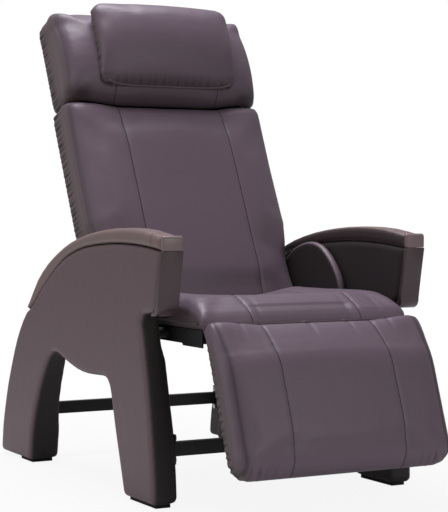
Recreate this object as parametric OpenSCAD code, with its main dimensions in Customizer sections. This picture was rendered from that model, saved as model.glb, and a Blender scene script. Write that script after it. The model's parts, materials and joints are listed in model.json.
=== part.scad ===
// Reclining massage chair: two padded arms joined by crossbars carry a seat frame,
// a reclining backrest with a roller massage carriage, and a rising legrest.
// Millimetres. +X is the sitter's left, -Y the front, +Z up. The origin lies on
// the floor, in the middle of the chair's length and width.

/* [Arms] */
// Width over the two arms
chair_w = 700; // [690:2:720]
// Thickness of one arm
arm_t = 53; // [48:1:58]
// Length of an arm where it stands on the floor
arm_len = 970; // [950:5:990]
// Distance of the middle of the arms' feet behind the origin
arm_mid_y = 140; // [130:1:150]
// Height of the arm at the top of its pad
arm_h = 628; // [616:2:640]
// Radius of the soft edges of an arm panel
arm_edge = 12; // [8:1:14]
// Radius of the edges of the glossy arm trims
trim_edge = 4; // [3:0.5:4.5]
// Depth of the glossy trims along the arm front
trim_t = 13; // [11:1:16]
// Height of the foot pads under the legs
foot_h = 8; // [5:1:12]

/* [Crossbars] */
// Height of a crossbar's section
bar_h = 32; // [26:1:36]
// Depth of a crossbar's section
bar_d = 20; // [16:1:26]
// Wall of the crossbar tube
bar_wall = 2; // [1.5:0.5:3]
// Height of the crossbars' lower faces above the floor
bar_z = 113; // [100:1:130]
// Distance of the front crossbar from the front of the feet
front_bar_in = 24; // [18:1:60]
// Distance of the rear crossbar from the rear of the feet
rear_bar_in = 116; // [90:1:150]
// Diameter of the crossbar screws
bar_screw_d = 8; // [6:1:10]

/* [Seat] */
// Height of the seat's surface
seat_h = 472; // [466:1:476]
// Distance of the seat cushion's sides from the arms in front of the side wings
seat_side_in = 22; // [17:1:29]
// Distance of the seat cushion's sides from the arms between the side wings
seat_rear_in = 30; // [29:1:35]
// Height of a seat rail
rail_h = 30; // [26:1:34]
// Width of a seat rail
rail_w = 22; // [18:1:24]
// Distance of the seat rails from the arms
rail_side_in = 35; // [34:1:39]
// Wall of the seat rails and cross tubes
rail_wall = 2; // [1.5:0.5:3]
// Thickness of the seat board
board_t = 9; // [6:1:12]
// Thickness of the cover round the seat frame
cover_t = 3; // [2:0.5:3]

/* [Backrest] */
// Lean of the backrest from upright
lean = 26; // [22:1:30]
// Distance of the recline pivot behind the origin
recline_y = 77; // [70:1:84]
// Height of the recline pivot
recline_z = 389; // [384:1:394]
// Largest recline from the upright position
recline_travel = 45; // [30:1:45]
// Distance of the backrest's sides from the arms' inner faces, above the arms
back_side_in = 7; // [5:1:13]
// Distance of the head cushion's sides from the arms' inner faces
head_side_in = 14; // [7:1:19]
// Distance of the backrest's sides from the arms' inner faces, between the side wings
back_low_in = 28; // [28:1:33]
// Length of the back cushion along the backrest
back_len = 578; // [560:2:600]
// Length of the head cushion along the backrest
head_len = 280; // [260:2:300]
// Thickness of the backrest, front face to rear cover
back_t = 122; // [120:1:126]
// Distance of the recline pivot behind the back cushion's front face
back_face = 61; // [58:1:64]
// Thickness of the padding over the massage rollers
back_pad_t = 36; // [32:1:40]
// Thickness of the padding down the sides of the backrest
side_pad_t = 24; // [20:1:26]
// How far the head cushion swells beyond the back cushion
head_swell = 29; // [20:1:34]

/* [Pillow] */
// Width of the head pillow
pillow_w = 396; // [370:2:420]
// Length of the head pillow along the backrest
pillow_len = 235; // [220:1:245]
// Thickness of the head pillow at its middle
pillow_t = 66; // [56:1:74]
// Height of the pillow's lower edge above the crease under the head cushion
pillow_up = 30; // [20:1:40]

/* [Side wings] */
// Thickness of a side wing
wing_t = 21; // [18:1:24]
// Edge radius of a side wing
wing_edge = 9; // [6:1:10]

/* [Legrest] */
// Lean of the legrest from upright, its foot forward
calf_lean = 20.5; // [17:0.5:23]
// Distance of the knee pivot in front of the origin
knee_y = -453; // [-456:1:-451]
// Height of the knee pivot
knee_z = 408; // [406:1:409]
// Largest lift of the legrest
legrest_travel = 60; // [40:1:60]
// Length of the legrest below the knee pivot
calf_len = 344; // [330:2:360]
// Distance of the legrest's sides from the arms' inner faces
calf_side_in = 16; // [13:1:21]
// Distance of the knee pivot behind the legrest's front face
calf_face = 65; // [62:1:68]
// Thickness of the legrest, front face to rear cover
calf_t = 67; // [66:1:72]

/* [Sewing] */
// Distance of the lengthwise seams from the middle
seam_x = 144; // [130:1:156]
// Half width of a sewn channel
seam_half = 5; // [3:0.5:7]
// Depth of a sewn channel
seam_depth = 4; // [2:0.5:6]

/* [Pivots and actuators] */
// Diameter of the recline pivot bolts
pivot_d = 12; // [10:1:14]
// Diameter of the knee pivot bolts
knee_d = 8; // [6:1:10]
// Running clearance of a bolt in its eye, on the radius
run_gap = 0.05; // [0.02:0.01:0.1]
// Thickness of the pivot ears
ear_t = 6; // [5:0.5:8]
// Diameter of an actuator's outer tube
act_tube_d = 32; // [28:1:36]
// Diameter of an actuator's rod
act_rod_d = 18; // [16:1:20]
// Diameter of the actuator pins
act_pin_d = 10; // [8:1:12]
// Distance of the middle of the chair to the recline actuator
recline_act_x = 130; // [110:1:150]
// Distance of the middle of the chair to the legrest actuator
legrest_act_x = 40; // [20:1:60]
// Length of the lever that the recline actuator drives
recline_lever = 84; // [76:1:90]
// Length of the lever that the legrest actuator drives
legrest_lever = 80; // [74:1:86]

/* [Massage carriage] */
// Distance of the guide rails' middles from the arms' inner faces
track_in = 121; // [113:1:129]
// Outer width of a guide rail
track_w = 24; // [20:1:26]
// Position of the carriage along the backrest
carriage_w = 305; // [285:5:320]
// Travel of the carriage up and down from there
carriage_travel = 145; // [100:5:145]
// Diameter of a massage roller
roller_d = 54; // [50:1:54]
// Width of a massage roller
roller_w = 26; // [22:1:30]
// Half of the distance between the left and right rollers
roller_half = 75; // [72:1:80]
// Half of the distance between the upper and lower rollers
roller_reach = 58; // [52:1:64]
// Diameter of the kneading shaft
knead_d = 16; // [14:1:18]
// Diameter of the lead screw
screw_d = 16; // [14:1:18]

/* [Hidden] */

$fn = 48;

// Clearance between pieces that lie against each other without a fit
seat_gap = 0.3;
// Clearance of a bolt in a plain hole, on the radius
bolt_gap = 0.2;
// Depth that a bolt screws into an arm
bolt_bite = 30;

// Colours of the finishes
hide = "#5f5357";
hide_pad = "#716665";
gloss = "#4a3e42";
steel = "#1c1a1d";
bright = "#b9bcc0";
nylon = "#d8d4c8";
ply = "#b98f5f";

// ---- Shared arithmetic ----

// Inset at distance s from the end of a body whose end edge is rounded with radius r
function edge_in(s, r) = s >= r ? 0 : r - sqrt(r * r - (r - s) * (r - s));

// Smooth step from 0 to 1 as v goes from a to b
function ease(v, a, b) =
    let (t = max(0, min(1, (v - a) / (b - a)))) t * t * (3 - 2 * t);

// Point between b and c on a smooth curve through a, b, c and d
function curve_at(a, b, c, d, t) =
    0.5 * (2 * b + (c - a) * t + (2 * a - 5 * b + 4 * c - d) * t * t
        + (3 * b - a - 3 * c + d) * t * t * t);

// Smooth open curve through the points p, with n steps between neighbours
function curve(p, n) = let (last = len(p) - 1) concat([
    for (i = [0:last - 1]) for (k = [0:n - 1])
        curve_at(p[max(0, i - 1)], p[i], p[i + 1], p[min(last, i + 2)], k / n)
], [p[last]]);

// Points of an arc round c with radius r, from angle a to angle b in n steps
function arc(c, r, a, b, n) = [
    for (k = [0:n]) c + r * [cos(a + (b - a) * k / n), sin(a + (b - a) * k / n)]
];

function unit(v) = v / norm(v);
function left_of(v) = [-v[1], v[0]];

// Outline p, anticlockwise, drawn in by d all round
function drawn_in(p, d) = let (n = len(p)) [
    for (i = [0:n - 1]) let (
        u = left_of(unit(p[i] - p[(i + n - 1) % n])),
        v = left_of(unit(p[(i + 1) % n] - p[i])),
        m = unit(u + v)
    ) p[i] + m * d / max(0.5, m * u)
];

// Twice the area of the triangle a, b, c, positive where it runs anticlockwise
function turn(a, b, c) = (b[0] - a[0]) * (c[1] - a[1]) - (b[1] - a[1]) * (c[0] - a[0]);
function within(p, a, b, c) =
    turn(a, b, p) >= 0 && turn(b, c, p) >= 0 && turn(c, a, p) >= 0;

// Whether the corner j of what is left of the outline p, the points i, can be cut off
function is_ear(p, i, j) = let (
    n = len(i),
    a = p[i[(j + n - 1) % n]], b = p[i[j]], c = p[i[(j + 1) % n]]
) turn(a, b, c) > 0.001 && len([
    for (k = i) if (p[k] != a && p[k] != b && p[k] != c && within(p[k], a, b, c)) k
]) == 0;
function first_ear(p, i, j) = j >= len(i) ? 0 : is_ear(p, i, j) ? j : first_ear(p, i, j + 1);

// Triangles that fill the outline p, anticlockwise, from its points i
function ears(p, i) = len(i) < 4 ? [i] : let (n = len(i), j = first_ear(p, i, 0)) concat(
    [[i[(j + n - 1) % n], i[j], i[(j + 1) % n]]],
    ears(p, [for (k = [0:n - 1]) if (k != j) i[k]])
);

// Solid through a pile of outlines: each entry is [height, points], all with as
// many points, anticlockwise seen from above
module pile(levels) {
    n = len(levels[0][1]);
    top = len(levels) - 1;
    all = [for (j = [0:n - 1]) j];
    polyhedron(
        points = [for (l = levels) for (p = l[1]) [p[0], p[1], l[0]]],
        faces = concat(
            ears(levels[0][1], all),
            [for (t = ears(levels[top][1], all)) [for (k = [2:-1:0]) top * n + t[k]]],
            [for (i = [0:top - 1]) for (j = [0:n - 1]) let (k = (j + 1) % n)
                [i * n + j, (i + 1) * n + k, i * n + k]],
            [for (i = [0:top - 1]) for (j = [0:n - 1]) let (k = (j + 1) % n)
                [i * n + j, (i + 1) * n + j, (i + 1) * n + k]]
        )
    );
}

// Upright plate along X from x0 with the outline p in Y and Z, its edges rounded
// with radius r in steps
module soft_plate(p, x0, t, r, steps = 4) {
    translate([x0, 0, 0]) rotate([90, 0, 90]) pile(concat(
        [for (k = [0:steps]) let (a = 90 * k / steps)
            [r * (1 - cos(a)), drawn_in(p, r * (1 - sin(a)))]],
        [for (k = [steps:-1:0]) let (a = 90 * k / steps)
            [t - r * (1 - cos(a)), drawn_in(p, r * (1 - sin(a)))]]
    ));
}

// Outline between the lines low and high, drawn in by d, or less where it is narrow
function strip_outline(low, high, d) = let (n = len(low) - 1, side = [
    for (i = [0:n]) let (
        across = high[i] - low[i],
        e = min(d, 0.4 * norm(across)),
        u = unit(across) * e,
        v = i == 0 ? unit(low[1] - low[0]) * e : i == n ? unit(low[n - 1] - low[n]) * e : [0, 0]
    ) [low[i] + u + v, high[i] - u + v]
]) concat([for (s = side) s[0]], [for (i = [n:-1:0]) side[i][1]]);

// Upright strip along X from x0, between the lines low and high in Y and Z, with as
// many points each, its edges rounded with radius r in steps
module soft_strip(low, high, x0, t, r, steps = 4) {
    translate([x0, 0, 0]) rotate([90, 0, 90]) pile(concat(
        [for (k = [0:steps]) let (a = 90 * k / steps)
            [r * (1 - cos(a)), strip_outline(low, high, r * (1 - sin(a)))]],
        [for (k = [steps:-1:0]) let (a = 90 * k / steps)
            [t - r * (1 - cos(a)), strip_outline(low, high, r * (1 - sin(a)))]]
    ));
}

// Both sides of the chair
module both() {
    children();
    mirror([1, 0, 0]) children();
}

// Cylinder along X from x0 to x1 through the point p in Y and Z
module rod_x(x0, x1, d, p = [0, 0]) {
    translate([x0, p[0], p[1]]) rotate([0, 90, 0]) cylinder(h = x1 - x0, d = d);
}

// Plate along X from x0 to x1 with a two-dimensional outline in Y and Z
module plate_x(x0, x1) {
    translate([x0, 0, 0]) rotate([90, 0, 90]) linear_extrude(x1 - x0) children();
}

// Bar with round ends of radius r between the points a and b, its flanks set in a
// little from the ends
module bar(a, b, r) {
    w = r - 0.15;
    translate(a) circle(r);
    translate(b) circle(r);
    translate(a) rotate(atan2(b[1] - a[1], b[0] - a[0])) translate([0, -w])
        square([norm(b - a), 2 * w]);
}

// Bolt along X from x0: a shank of diameter d to x1 and a hexagon head outside x1
module bolt_x(x0, x1, d, p) {
    rod_x(x0, x1, d, p);
    translate([x1, p[0], p[1]]) rotate([0, 90, 0]) cylinder(h = 0.6 * d, d = 1.8 * d, $fn = 6);
}

// Rectangular tube along X from x0 to x1, its section's corner at p in Y and Z
module tube_x(x0, x1, p, size, wall) {
    difference() {
        translate([x0, p[0], p[1]]) cube([x1 - x0, size[0], size[1]]);
        translate([x0 - 1, p[0] + wall, p[1] + wall])
            cube([x1 - x0 + 2, size[0] - 2 * wall, size[1] - 2 * wall]);
    }
}

// ---- Places that several pieces share ----

arm_in = chair_w / 2 - arm_t;
// Halves of the widths of what stands between the arms
seat_half_w = arm_in - seat_side_in;
seat_rear_half_w = arm_in - seat_rear_in;
rail_out = arm_in - rail_side_in;
back_half_w = arm_in - back_side_in;
head_half_w = arm_in - head_side_in;
back_low_half_w = arm_in - back_low_in;
calf_half_w = arm_in - calf_side_in;
track_half = arm_in - track_in;
foot_front = arm_mid_y - arm_len / 2;
foot_rear = arm_mid_y + arm_len / 2;
rail_in = rail_out - rail_w;
rail_top = recline_z + rail_h / 2;
rail_bottom = recline_z - rail_h / 2;
rail_front = knee_y + 32;
seat_front = knee_y + 14;
seat_rear = recline_y - 48;
front_tube_y = rail_front;
rear_tube_y = recline_y - 83;
middle_tube_y = recline_y - 244;

// ---- Arms ----

// Height of the arm as drawn, which the outlines below are written for
drawn_h = 628;
// Length of the arm as drawn
drawn_len = 970;
// Height of the feet on the arm as drawn
foot_drawn = foot_h * drawn_h / arm_h;

// Points of an arm outline, written from the middle of the feet for the arm as drawn,
// on the arm as set
function on_arm(p) = [
    for (q = p) [arm_mid_y + q[0] * arm_len / drawn_len, q[1] * arm_h / drawn_h]
];

// Joint line between the panel and the pad, front to rear
seam_line = [[-521.7, 580], [-430, 589], [-318, 593], [-205, 590], [-90, 580], [-8, 563],
    [50, 544], [120, 509], [187, 468], [245, 427], [283, 406]];
// Top of the pad, front to rear, one point over each of the joint line's
pad_line = [[-521.7, 612], [-431, 625], [-320, 629], [-212, 624], [-100, 611], [0, 590],
    [71, 566], [145, 534], [214, 490], [268, 436], [291, 414]];
// Rear edge of the arm, from under the pad down to the floor
rear_line = [[289, 405], [322, 378], [367, 325], [404, 262], [436, 198], [458, 140],
    [476, 80], [485, foot_drawn + 8]];
// Edge of the arch, from the front leg over to the rear leg
arch_front = [[-320, foot_drawn + 8], [-294, 94], [-271, 161], [-253, 222], [-240, 256]];
arch_rear = [[124, 300], [146, 282], [178, 244], [211, 191], [240, 134], [260, 72],
    [268, foot_drawn + 8]];
arch_line = concat(arch_front, [[-214, 273], [-163, 273], [-103, 271], [-42, 276],
    [22, 290], [70, 304], [97, 308]], arch_rear);
// Front of the front leg, from the overhang down to the floor
shin_line = [[-415, 418], [-424, 382], [-446, 294], [-466, 185], [-482, 76],
    [-485, foot_drawn + 8]];
// Front of the arm behind its trims, top to bottom
brow_line = [[-521, 578], [-510, 520], [-498, 458], [-488, 446], [-474, 440]];

function back_to_front(p) = [for (i = [len(p) - 1:-1:0]) p[i]];

arm_outline = on_arm(concat(
    [[-477, foot_drawn], [-328, foot_drawn]], curve(arch_line, 2),
    [[276, foot_drawn], [477, foot_drawn]], back_to_front(curve(rear_line, 2)),
    back_to_front(curve(seam_line, 2)), [for (i = [1:4]) brow_line[i]],
    [[-424, 434]], curve(shin_line, 2)
));

pad_low = on_arm([for (p = curve(seam_line, 2)) p + [0, seat_gap]]);
pad_high = on_arm(curve(pad_line, 2));

// Seat of a bolt in the arm's inner face: place in Y and Z, diameter
module arm_hole(p, d) {
    rod_x(arm_in - 1, arm_in + bolt_bite, d, p);
}

// Legs, front and rear: how far the leg stands in from the arm at a height, the lines
// in front of it and behind it, and the heights of its sections
leg_in = [
    [[170, 11], [250, 8], [330, 6], [365, -1]],
    [[80, 31], [170, 18], [255, 9], [310, -1]]
];
leg_lines = [
    [shin_line, concat(arch_front, [[-236, 380]])],
    [arch_rear, [for (p = arch_rear) p + [110, 0]]]
];
leg_heights = [
    [foot_h, foot_h + 4, foot_h + 12, 60, 120, 170, 250, 330, 365],
    [foot_h, foot_h + 4, foot_h + 12, 50, 80, 125, 170, 212, 255, 285, 310]
];
function inset(k, z) = lookup(z, leg_in[k]);
function line_at(line, z) = on_arm([[lookup(z * drawn_h / arm_h,
    [for (p = line) [p[1], p[0]]]), 0]])[0][0];

// Section of a leg: its inner corners are round
function leg_section(x0, x1, y0, y1, r) = concat([[x1, y0], [x1, y1]],
    arc([x0 + r, y1 - r], r, 90, 180, 4), arc([x0 + r, y0 + r], r, 180, 270, 4));

// The part of leg k that stands in from the arm
module leg_block(k) {
    pile([for (z = leg_heights[k]) let (e = edge_in(z - foot_h, arm_edge)) [z, leg_section(
        arm_in - inset(k, z) + e, arm_in + arm_edge + 4,
        line_at(leg_lines[k][0], z) + e, line_at(leg_lines[k][1], z) - e, arm_edge
    )]]);
}

front_bar_y = foot_front + front_bar_in;
rear_bar_y = foot_rear - rear_bar_in;
// Places of the crossbars' screws, as the bars' corners plus these
bar_holes = [[bar_d / 2, bar_h + 9], [bar_d / 2, -9]];
// Depth of the crossbars' screws beyond the arm's inner face
bar_bite = 16;
function bar_y(k) = k == 0 ? front_bar_y : rear_bar_y;
// Height over which a crossbar's end plate stands out beyond the bar
plate_out = 18;
plate_t = 4;
// Inner face of a crossbar's end plates
function saddle_x(k) = arm_in - inset(k, bar_z - plate_out) - plate_t;
// Places of the bolts that carry the seat on the arms
mount_holes = [[foot_front + 102, recline_z], [rear_tube_y - 15, recline_z]];
mount_d = 10;

module arm_panel() {
    color(hide) difference() {
        union() {
            soft_plate(arm_outline, arm_in, arm_t, arm_edge);
            leg_block(0);
            leg_block(1);
        }
        for (k = [0, 1]) for (h = bar_holes)
            rod_x(saddle_x(k), arm_in + bar_bite, bar_screw_d, [bar_y(k), bar_z] + h);
        for (p = mount_holes) arm_hole(p, mount_d);
    }
}

module arm_panel_left() { arm_panel(); }
module arm_panel_right() { mirror([1, 0, 0]) arm_panel(); }

module arm_pad() {
    color(hide_pad) soft_strip(pad_low, pad_high, arm_in, arm_t, arm_edge);
}

module arm_pad_left() { arm_pad(); }
module arm_pad_right() { mirror([1, 0, 0]) arm_pad(); }

// Height of the joint between cap and fascia
cap_z = 580;

// Radius of the cap's nose, which its rounded edges leave room for
nose_r = trim_t - trim_edge - 1;

// Moulded cap that closes the front end of the pad
cap_outline = on_arm(concat(
    [[-535, cap_z + 0.5], [-535 + trim_t, cap_z + 0.5], [-535 + trim_t, 614]],
    arc([-535 + nose_r, 614 - nose_r], nose_r, 90, 180, 5)
));

module arm_cap() {
    color(gloss) soft_plate(cap_outline, arm_in + 1, arm_t - 2, trim_edge);
}

module arm_cap_left() { arm_cap(); }
module arm_cap_right() { mirror([1, 0, 0]) arm_cap(); }

// Moulded strip down the front of the arm, turned under at its foot
fascia_outline = on_arm(concat(
    [[-535, cap_z], [-523, 520]], arc([-490, 456], 22, 172, 262, 6),
    [[-474, 433.5], [-474, 433.5 + 6]], [[-488, 445.5]], [[-498.5, 457]], [[-510.5, 520]],
    [[-522.3, cap_z]]
));

module arm_fascia() {
    color(gloss) soft_plate(fascia_outline, arm_in, arm_t, 2.5, 2);
}

module arm_fascia_left() { arm_fascia(); }
module arm_fascia_right() { mirror([1, 0, 0]) arm_fascia(); }

// Distance of a foot pad from the faces and ends of its leg
foot_in = 14;

module feet() {
    color(steel) both() for (k = [0, 1]) let (
        y = [for (line = leg_lines[k]) line_at(line, 0)],
        x = arm_in - inset(k, 0)
    ) translate([x + foot_in, y[0] + foot_in, 0])
        cube([chair_w / 2 - x - 2 * foot_in, y[1] - y[0] - 2 * foot_in, foot_h]);
}

// ---- Crossbars ----

// Bar k between the arms: its end plates follow the legs' slope
module crossbar(k) {
    x = saddle_x(k);
    low = bar_z - plate_out;
    high = bar_z + bar_h + plate_out;
    color(steel) difference() {
        union() {
            tube_x(-x - 1, x + 1, [bar_y(k), bar_z], [bar_d, bar_h], bar_wall);
            both() translate([0, bar_y(k) + bar_d + 4, 0]) rotate([90, 0, 0])
                linear_extrude(bar_d + 8) polygon([[x, low], [arm_in - inset(k, low), low],
                    [arm_in - inset(k, high), high], [x, high]]);
        }
        both() for (h = bar_holes)
            rod_x(x - 1, arm_in, bar_screw_d + 2 * bolt_gap, [bar_y(k), bar_z] + h);
    }
}

module front_crossbar() { crossbar(0); }
module rear_crossbar() { crossbar(1); }

module crossbar_screws() {
    color(bright) both() for (k = [0, 1]) for (h = bar_holes)
        mirror([1, 0, 0]) bolt_x(-arm_in - bar_bite, -saddle_x(k), bar_screw_d,
            [bar_y(k), bar_z] + h);
}

// ---- Seat frame ----

// Place of the knee pivot and of the recline pivot in Y and Z
knee = [knee_y, knee_z];
pivot = [recline_y, recline_z];
// Radius of the eye round a knee bolt
knee_eye = 9;
// Face of the knee lug that the legrest's ear runs against
knee_lug_x = rail_in + 6;

module seat_rail() {
    color(steel) difference() {
        union() {
            plate_x(rail_in, rail_out) {
                translate([rail_front, rail_bottom])
                    square([recline_y - rail_front, rail_h]);
                translate(pivot) circle(rail_h / 2);
            }
            plate_x(knee_lug_x, knee_lug_x + ear_t) {
                translate(knee) circle(knee_eye);
                translate([knee_y - knee_eye, rail_bottom + 4])
                    square([2 * knee_eye, knee_z - rail_bottom - 4]);
                translate([knee_y - knee_eye, rail_bottom + 4])
                    square([rail_front - knee_y + knee_eye, 18]);
            }
            for (p = mount_holes) rod_x(rail_out - 1, arm_in, mount_d + 14, p);
        }
        translate([rail_in + rail_wall, rail_front + plate_t, rail_bottom + rail_wall])
            cube([rail_w - 2 * rail_wall, recline_y - rail_front - rail_h - plate_t,
                rail_h - 2 * rail_wall]);
        rod_x(rail_in - 1, rail_out + 1, pivot_d + 2 * run_gap, pivot);
        rod_x(knee_lug_x - 1, knee_lug_x + ear_t + 1, knee_d, knee);
        for (p = mount_holes) rod_x(rail_in - 1, arm_in + 1, mount_d + 2 * bolt_gap, p);
    }
}

module seat_rail_left() { seat_rail(); }
module seat_rail_right() { mirror([1, 0, 0]) seat_rail(); }

module seat_mount_bolts() {
    color(bright) both() for (p = mount_holes) mirror([1, 0, 0])
        bolt_x(-arm_in - bolt_bite, -rail_in, mount_d, p);
}

module seat_cross_tubes() {
    color(steel) for (y = [front_tube_y, rear_tube_y])
        tube_x(-rail_in, rail_in, [y, rail_bottom], [rail_h, rail_h], rail_wall);
}

// ---- Actuator linkages ----

// Place on a lever of length r at angle a behind straight down, from pivot p
function hung(p, r, a) = p + r * [sin(a), -cos(a)];

// The levers swing through these angles, from rest to the end of travel
recline_a = recline_travel / 2;
legrest_a = legrest_travel / 2 + 6;
recline_pin = hung(pivot, recline_lever, recline_a);
recline_pin_end = hung(pivot, recline_lever, recline_a - recline_travel);
legrest_pin = hung(knee, legrest_lever, legrest_a);
legrest_pin_end = hung(knee, legrest_lever, legrest_a - legrest_travel);
// Fixed pins of the two actuators, under the crossmember
recline_base = [middle_tube_y + rail_h / 2, recline_pin[1] + 9];
legrest_base = [middle_tube_y + rail_h / 2, legrest_pin[1] - 6];
recline_stroke = norm(recline_pin_end - recline_base) - norm(recline_pin - recline_base);
legrest_stroke = norm(legrest_pin_end - legrest_base) - norm(legrest_pin - legrest_base);
function rise(a, b) = atan2(b[1] - a[1], abs(b[0] - a[0]));
recline_swing = rise(recline_base, recline_pin_end) - rise(recline_base, recline_pin);
legrest_swing = rise(legrest_base, legrest_pin_end) - rise(legrest_base, legrest_pin);

// Half of the width of an actuator's eye, and of the gap in its brackets
eye_half = 8;
// Radius of an actuator's eye
eye_r = 11;

// Two cheeks that hang from the crossmember round a fixed pin
module act_bracket(x, p) {
    for (side = [-1, 1]) translate([x + side * (eye_half + 0.5 + plate_t / 2), 0, 0])
        plate_x(-plate_t / 2, plate_t / 2) difference() {
            union() {
                translate(p) circle(eye_r);
                translate([p[0] - eye_r, p[1]]) square([2 * eye_r, rail_bottom - p[1] + 1]);
            }
            translate(p) circle(d = act_pin_d);
        }
}

module actuator_crossmember() {
    color(steel) {
        tube_x(-rail_in, rail_in, [middle_tube_y, rail_bottom], [rail_h, rail_h], rail_wall);
        act_bracket(recline_act_x, recline_base);
        act_bracket(legrest_act_x, legrest_base);
    }
}

// Half of the length of an actuator pin
pin_half = eye_half + plate_t + 3;

module actuator_base_pins() {
    color(bright) {
        rod_x(recline_act_x - pin_half, recline_act_x + pin_half, act_pin_d, recline_base);
        rod_x(legrest_act_x - pin_half, legrest_act_x + pin_half, act_pin_d, legrest_base);
    }
}

// Frame with its Z from a towards b in the plane at x
module along(x, a, b) {
    translate([x, a[0], a[1]]) rotate([atan2(a[0] - b[0], b[1] - a[1]), 0, 0]) children();
}

// Start and end of the gearbox along an actuator
gear_from = 16;
gear_to = 52;
// Distance of the motor's axis beside the actuator's
motor_off = 38;
motor_d = 40;
motor_len = 84;

// Housing with eye, gearbox and motor, and the outer tube up to tube_to
module act_body(tube_to) {
    difference() {
        union() {
            rotate([0, 90, 0]) cylinder(r = eye_r, h = 2 * eye_half, center = true);
            translate([-eye_half, -eye_r, 0]) cube([2 * eye_half, 2 * eye_r, gear_from + 1]);
            translate([-act_tube_d / 2 - 2, -act_tube_d / 2 - 2, gear_from])
                cube([act_tube_d + 4 + motor_off, act_tube_d + 4, gear_to - gear_from]);
            translate([0, 0, gear_to - 1]) cylinder(d = act_tube_d, h = tube_to - gear_to + 1);
            translate([motor_off, 0, gear_to - 1]) cylinder(d = motor_d, h = motor_len);
        }
        rotate([0, 90, 0])
            cylinder(d = act_pin_d + 2 * run_gap, h = 2 * eye_half + 2, center = true);
        translate([0, 0, gear_to]) cylinder(d = act_tube_d - 6, h = tube_to - gear_to - 8);
        translate([0, 0, gear_to]) cylinder(d = act_rod_d + 2 * run_gap, h = tube_to);
    }
}

// Length of a rod's fork behind its pin
fork_len = 36;

// Rod from z0 to a fork whose pin lies at z1
module act_rod(z0, z1) {
    fork = eye_half + plate_t + 1;
    union() {
        translate([0, 0, z0]) cylinder(d = act_rod_d, h = z1 - fork_len + 1 - z0);
        difference() {
            union() {
                translate([-fork, -eye_r, z1 - fork_len]) cube([2 * fork, 2 * eye_r, fork_len]);
                translate([0, 0, z1]) rotate([0, 90, 0])
                    cylinder(r = eye_r, h = 2 * fork, center = true);
            }
            translate([-eye_half, -eye_r - 1, z1 - fork_len + 8])
                cube([2 * eye_half, 2 * eye_r + 2, fork_len - 8 + eye_r + 1]);
        }
        translate([0, 0, z1]) rotate([0, 90, 0])
            cylinder(d = act_pin_d, h = 2 * fork + 4, center = true);
    }
}

recline_len = norm(recline_pin - recline_base);
legrest_len = norm(legrest_pin - legrest_base);
// End of each outer tube
recline_tube_to = recline_len + recline_stroke - fork_len - 4;
legrest_tube_to = legrest_len - fork_len - 4;

module recline_actuator() {
    color("#2b2b2e") along(recline_act_x, recline_base, recline_pin) act_body(recline_tube_to);
}
module recline_rod() {
    color(bright) along(recline_act_x, recline_base, recline_pin)
        act_rod(gear_to + 6 - recline_stroke, recline_len);
}
module legrest_actuator() {
    color("#2b2b2e") along(legrest_act_x, legrest_base, legrest_pin) act_body(legrest_tube_to);
}
module legrest_rod() {
    color(bright) along(legrest_act_x, legrest_base, legrest_pin)
        act_rod(gear_to + 6, legrest_len);
}

// ---- Cushions ----

// Cross-section of a cushion: half width w, front face at f, back face at b, front
// edges of radius r, crown in the middle, sides drawn in by tuck, channels at the
// lengthwise seams where sewn is true
function section(w, f, b, r, crown, tuck, sewn) = let (
    e = min(r, 0.45 * (b - f)),
    q = min(10, 0.2 * (b - f)),
    flat = w - e,
    d = sewn ? seam_depth : 0,
    half = [
        [0, 0], [seam_x / 2, 0], [seam_x - seam_half, 0], [seam_x, d],
        [seam_x + seam_half, 0], [(seam_x + seam_half + flat) / 2, 0], [flat, 0]
    ],
    face = [for (h = half) [h[0], f - crown * (1 - pow(h[0] / flat, 2)) + h[1]]],
    side = concat(
        face, [for (a = [-60:30:0]) [flat + e * cos(a), f + e + e * sin(a)]],
        [[w - tuck, (f + b) / 2]],
        [for (a = [0:45:90]) [w - q + q * cos(a), b - q + q * sin(a)]]
    )
) concat(side, [for (i = [len(side) - 1:-1:1]) [-side[i][0], side[i][1]]]);

// Stations along a cushion of length l, closer together over r at each end
function stations(l, r, n) = concat(
    [for (t = [0, 0.12, 0.35, 0.65]) t * r],
    [for (k = [0:n]) r + (l - 2 * r) * k / n],
    [for (t = [0.65, 0.35, 0.12, 0]) l - t * r]
);

// Crown of height h that fades out over 90 mm at the two ends
function crown_at(s, l, h) = h * ease(s, -20, 90) * ease(l - s, -20, 90);

// Front edge radius of the large cushions
edge_r = 38;
// Crown of the large cushions
crown = 8;
// How far sewing draws their sides in
tuck = 3;

// Half width of the seat cushion at y, narrower beside the wings
function seat_w(y) = seat_half_w
    - (seat_half_w - seat_rear_half_w) * ease(y, recline_y - 287, recline_y - 232);

seat_len = seat_rear - seat_front;
// Fall of the seat towards its front edge, and the length over which it falls
seat_fall = 34;
seat_roll = 110;
// Height of the seat at distance s from its front end
function seat_top(s) = seat_h - seat_fall * pow(max(0, 1 - s / seat_roll), 2)
    - edge_in(s + 1, 26) - edge_in(seat_len - s, 16);

module seat_cushion() {
    low = rail_top + seat_gap;
    color(hide) difference() {
        translate([0, seat_front, 0]) rotate([-90, 0, 0]) pile([
            for (s = stations(seat_len, 55, 9)) [s, section(
                seat_w(seat_front + s) - edge_in(s, 20) - edge_in(seat_len - s, 12),
                -max(seat_top(s), low + 9), -low, 24, crown_at(s, seat_len, 3), 2, true
            )]
        ]);
        translate([-rail_in - board_out, rail_front + 12 - seat_gap, low - 1])
            cube([2 * (rail_in + board_out), board_len + 2 * seat_gap, board_t + 1 + seat_gap]);
    }
}

// How far the seat board laps over the rails
board_out = 8;
board_len = seat_rear - 14 - rail_front - 12;

module seat_board() {
    color(ply) translate([-rail_in - board_out + seat_gap, rail_front + 12, rail_top])
        cube([2 * (rail_in + board_out - seat_gap), board_len, board_t]);
}

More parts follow.
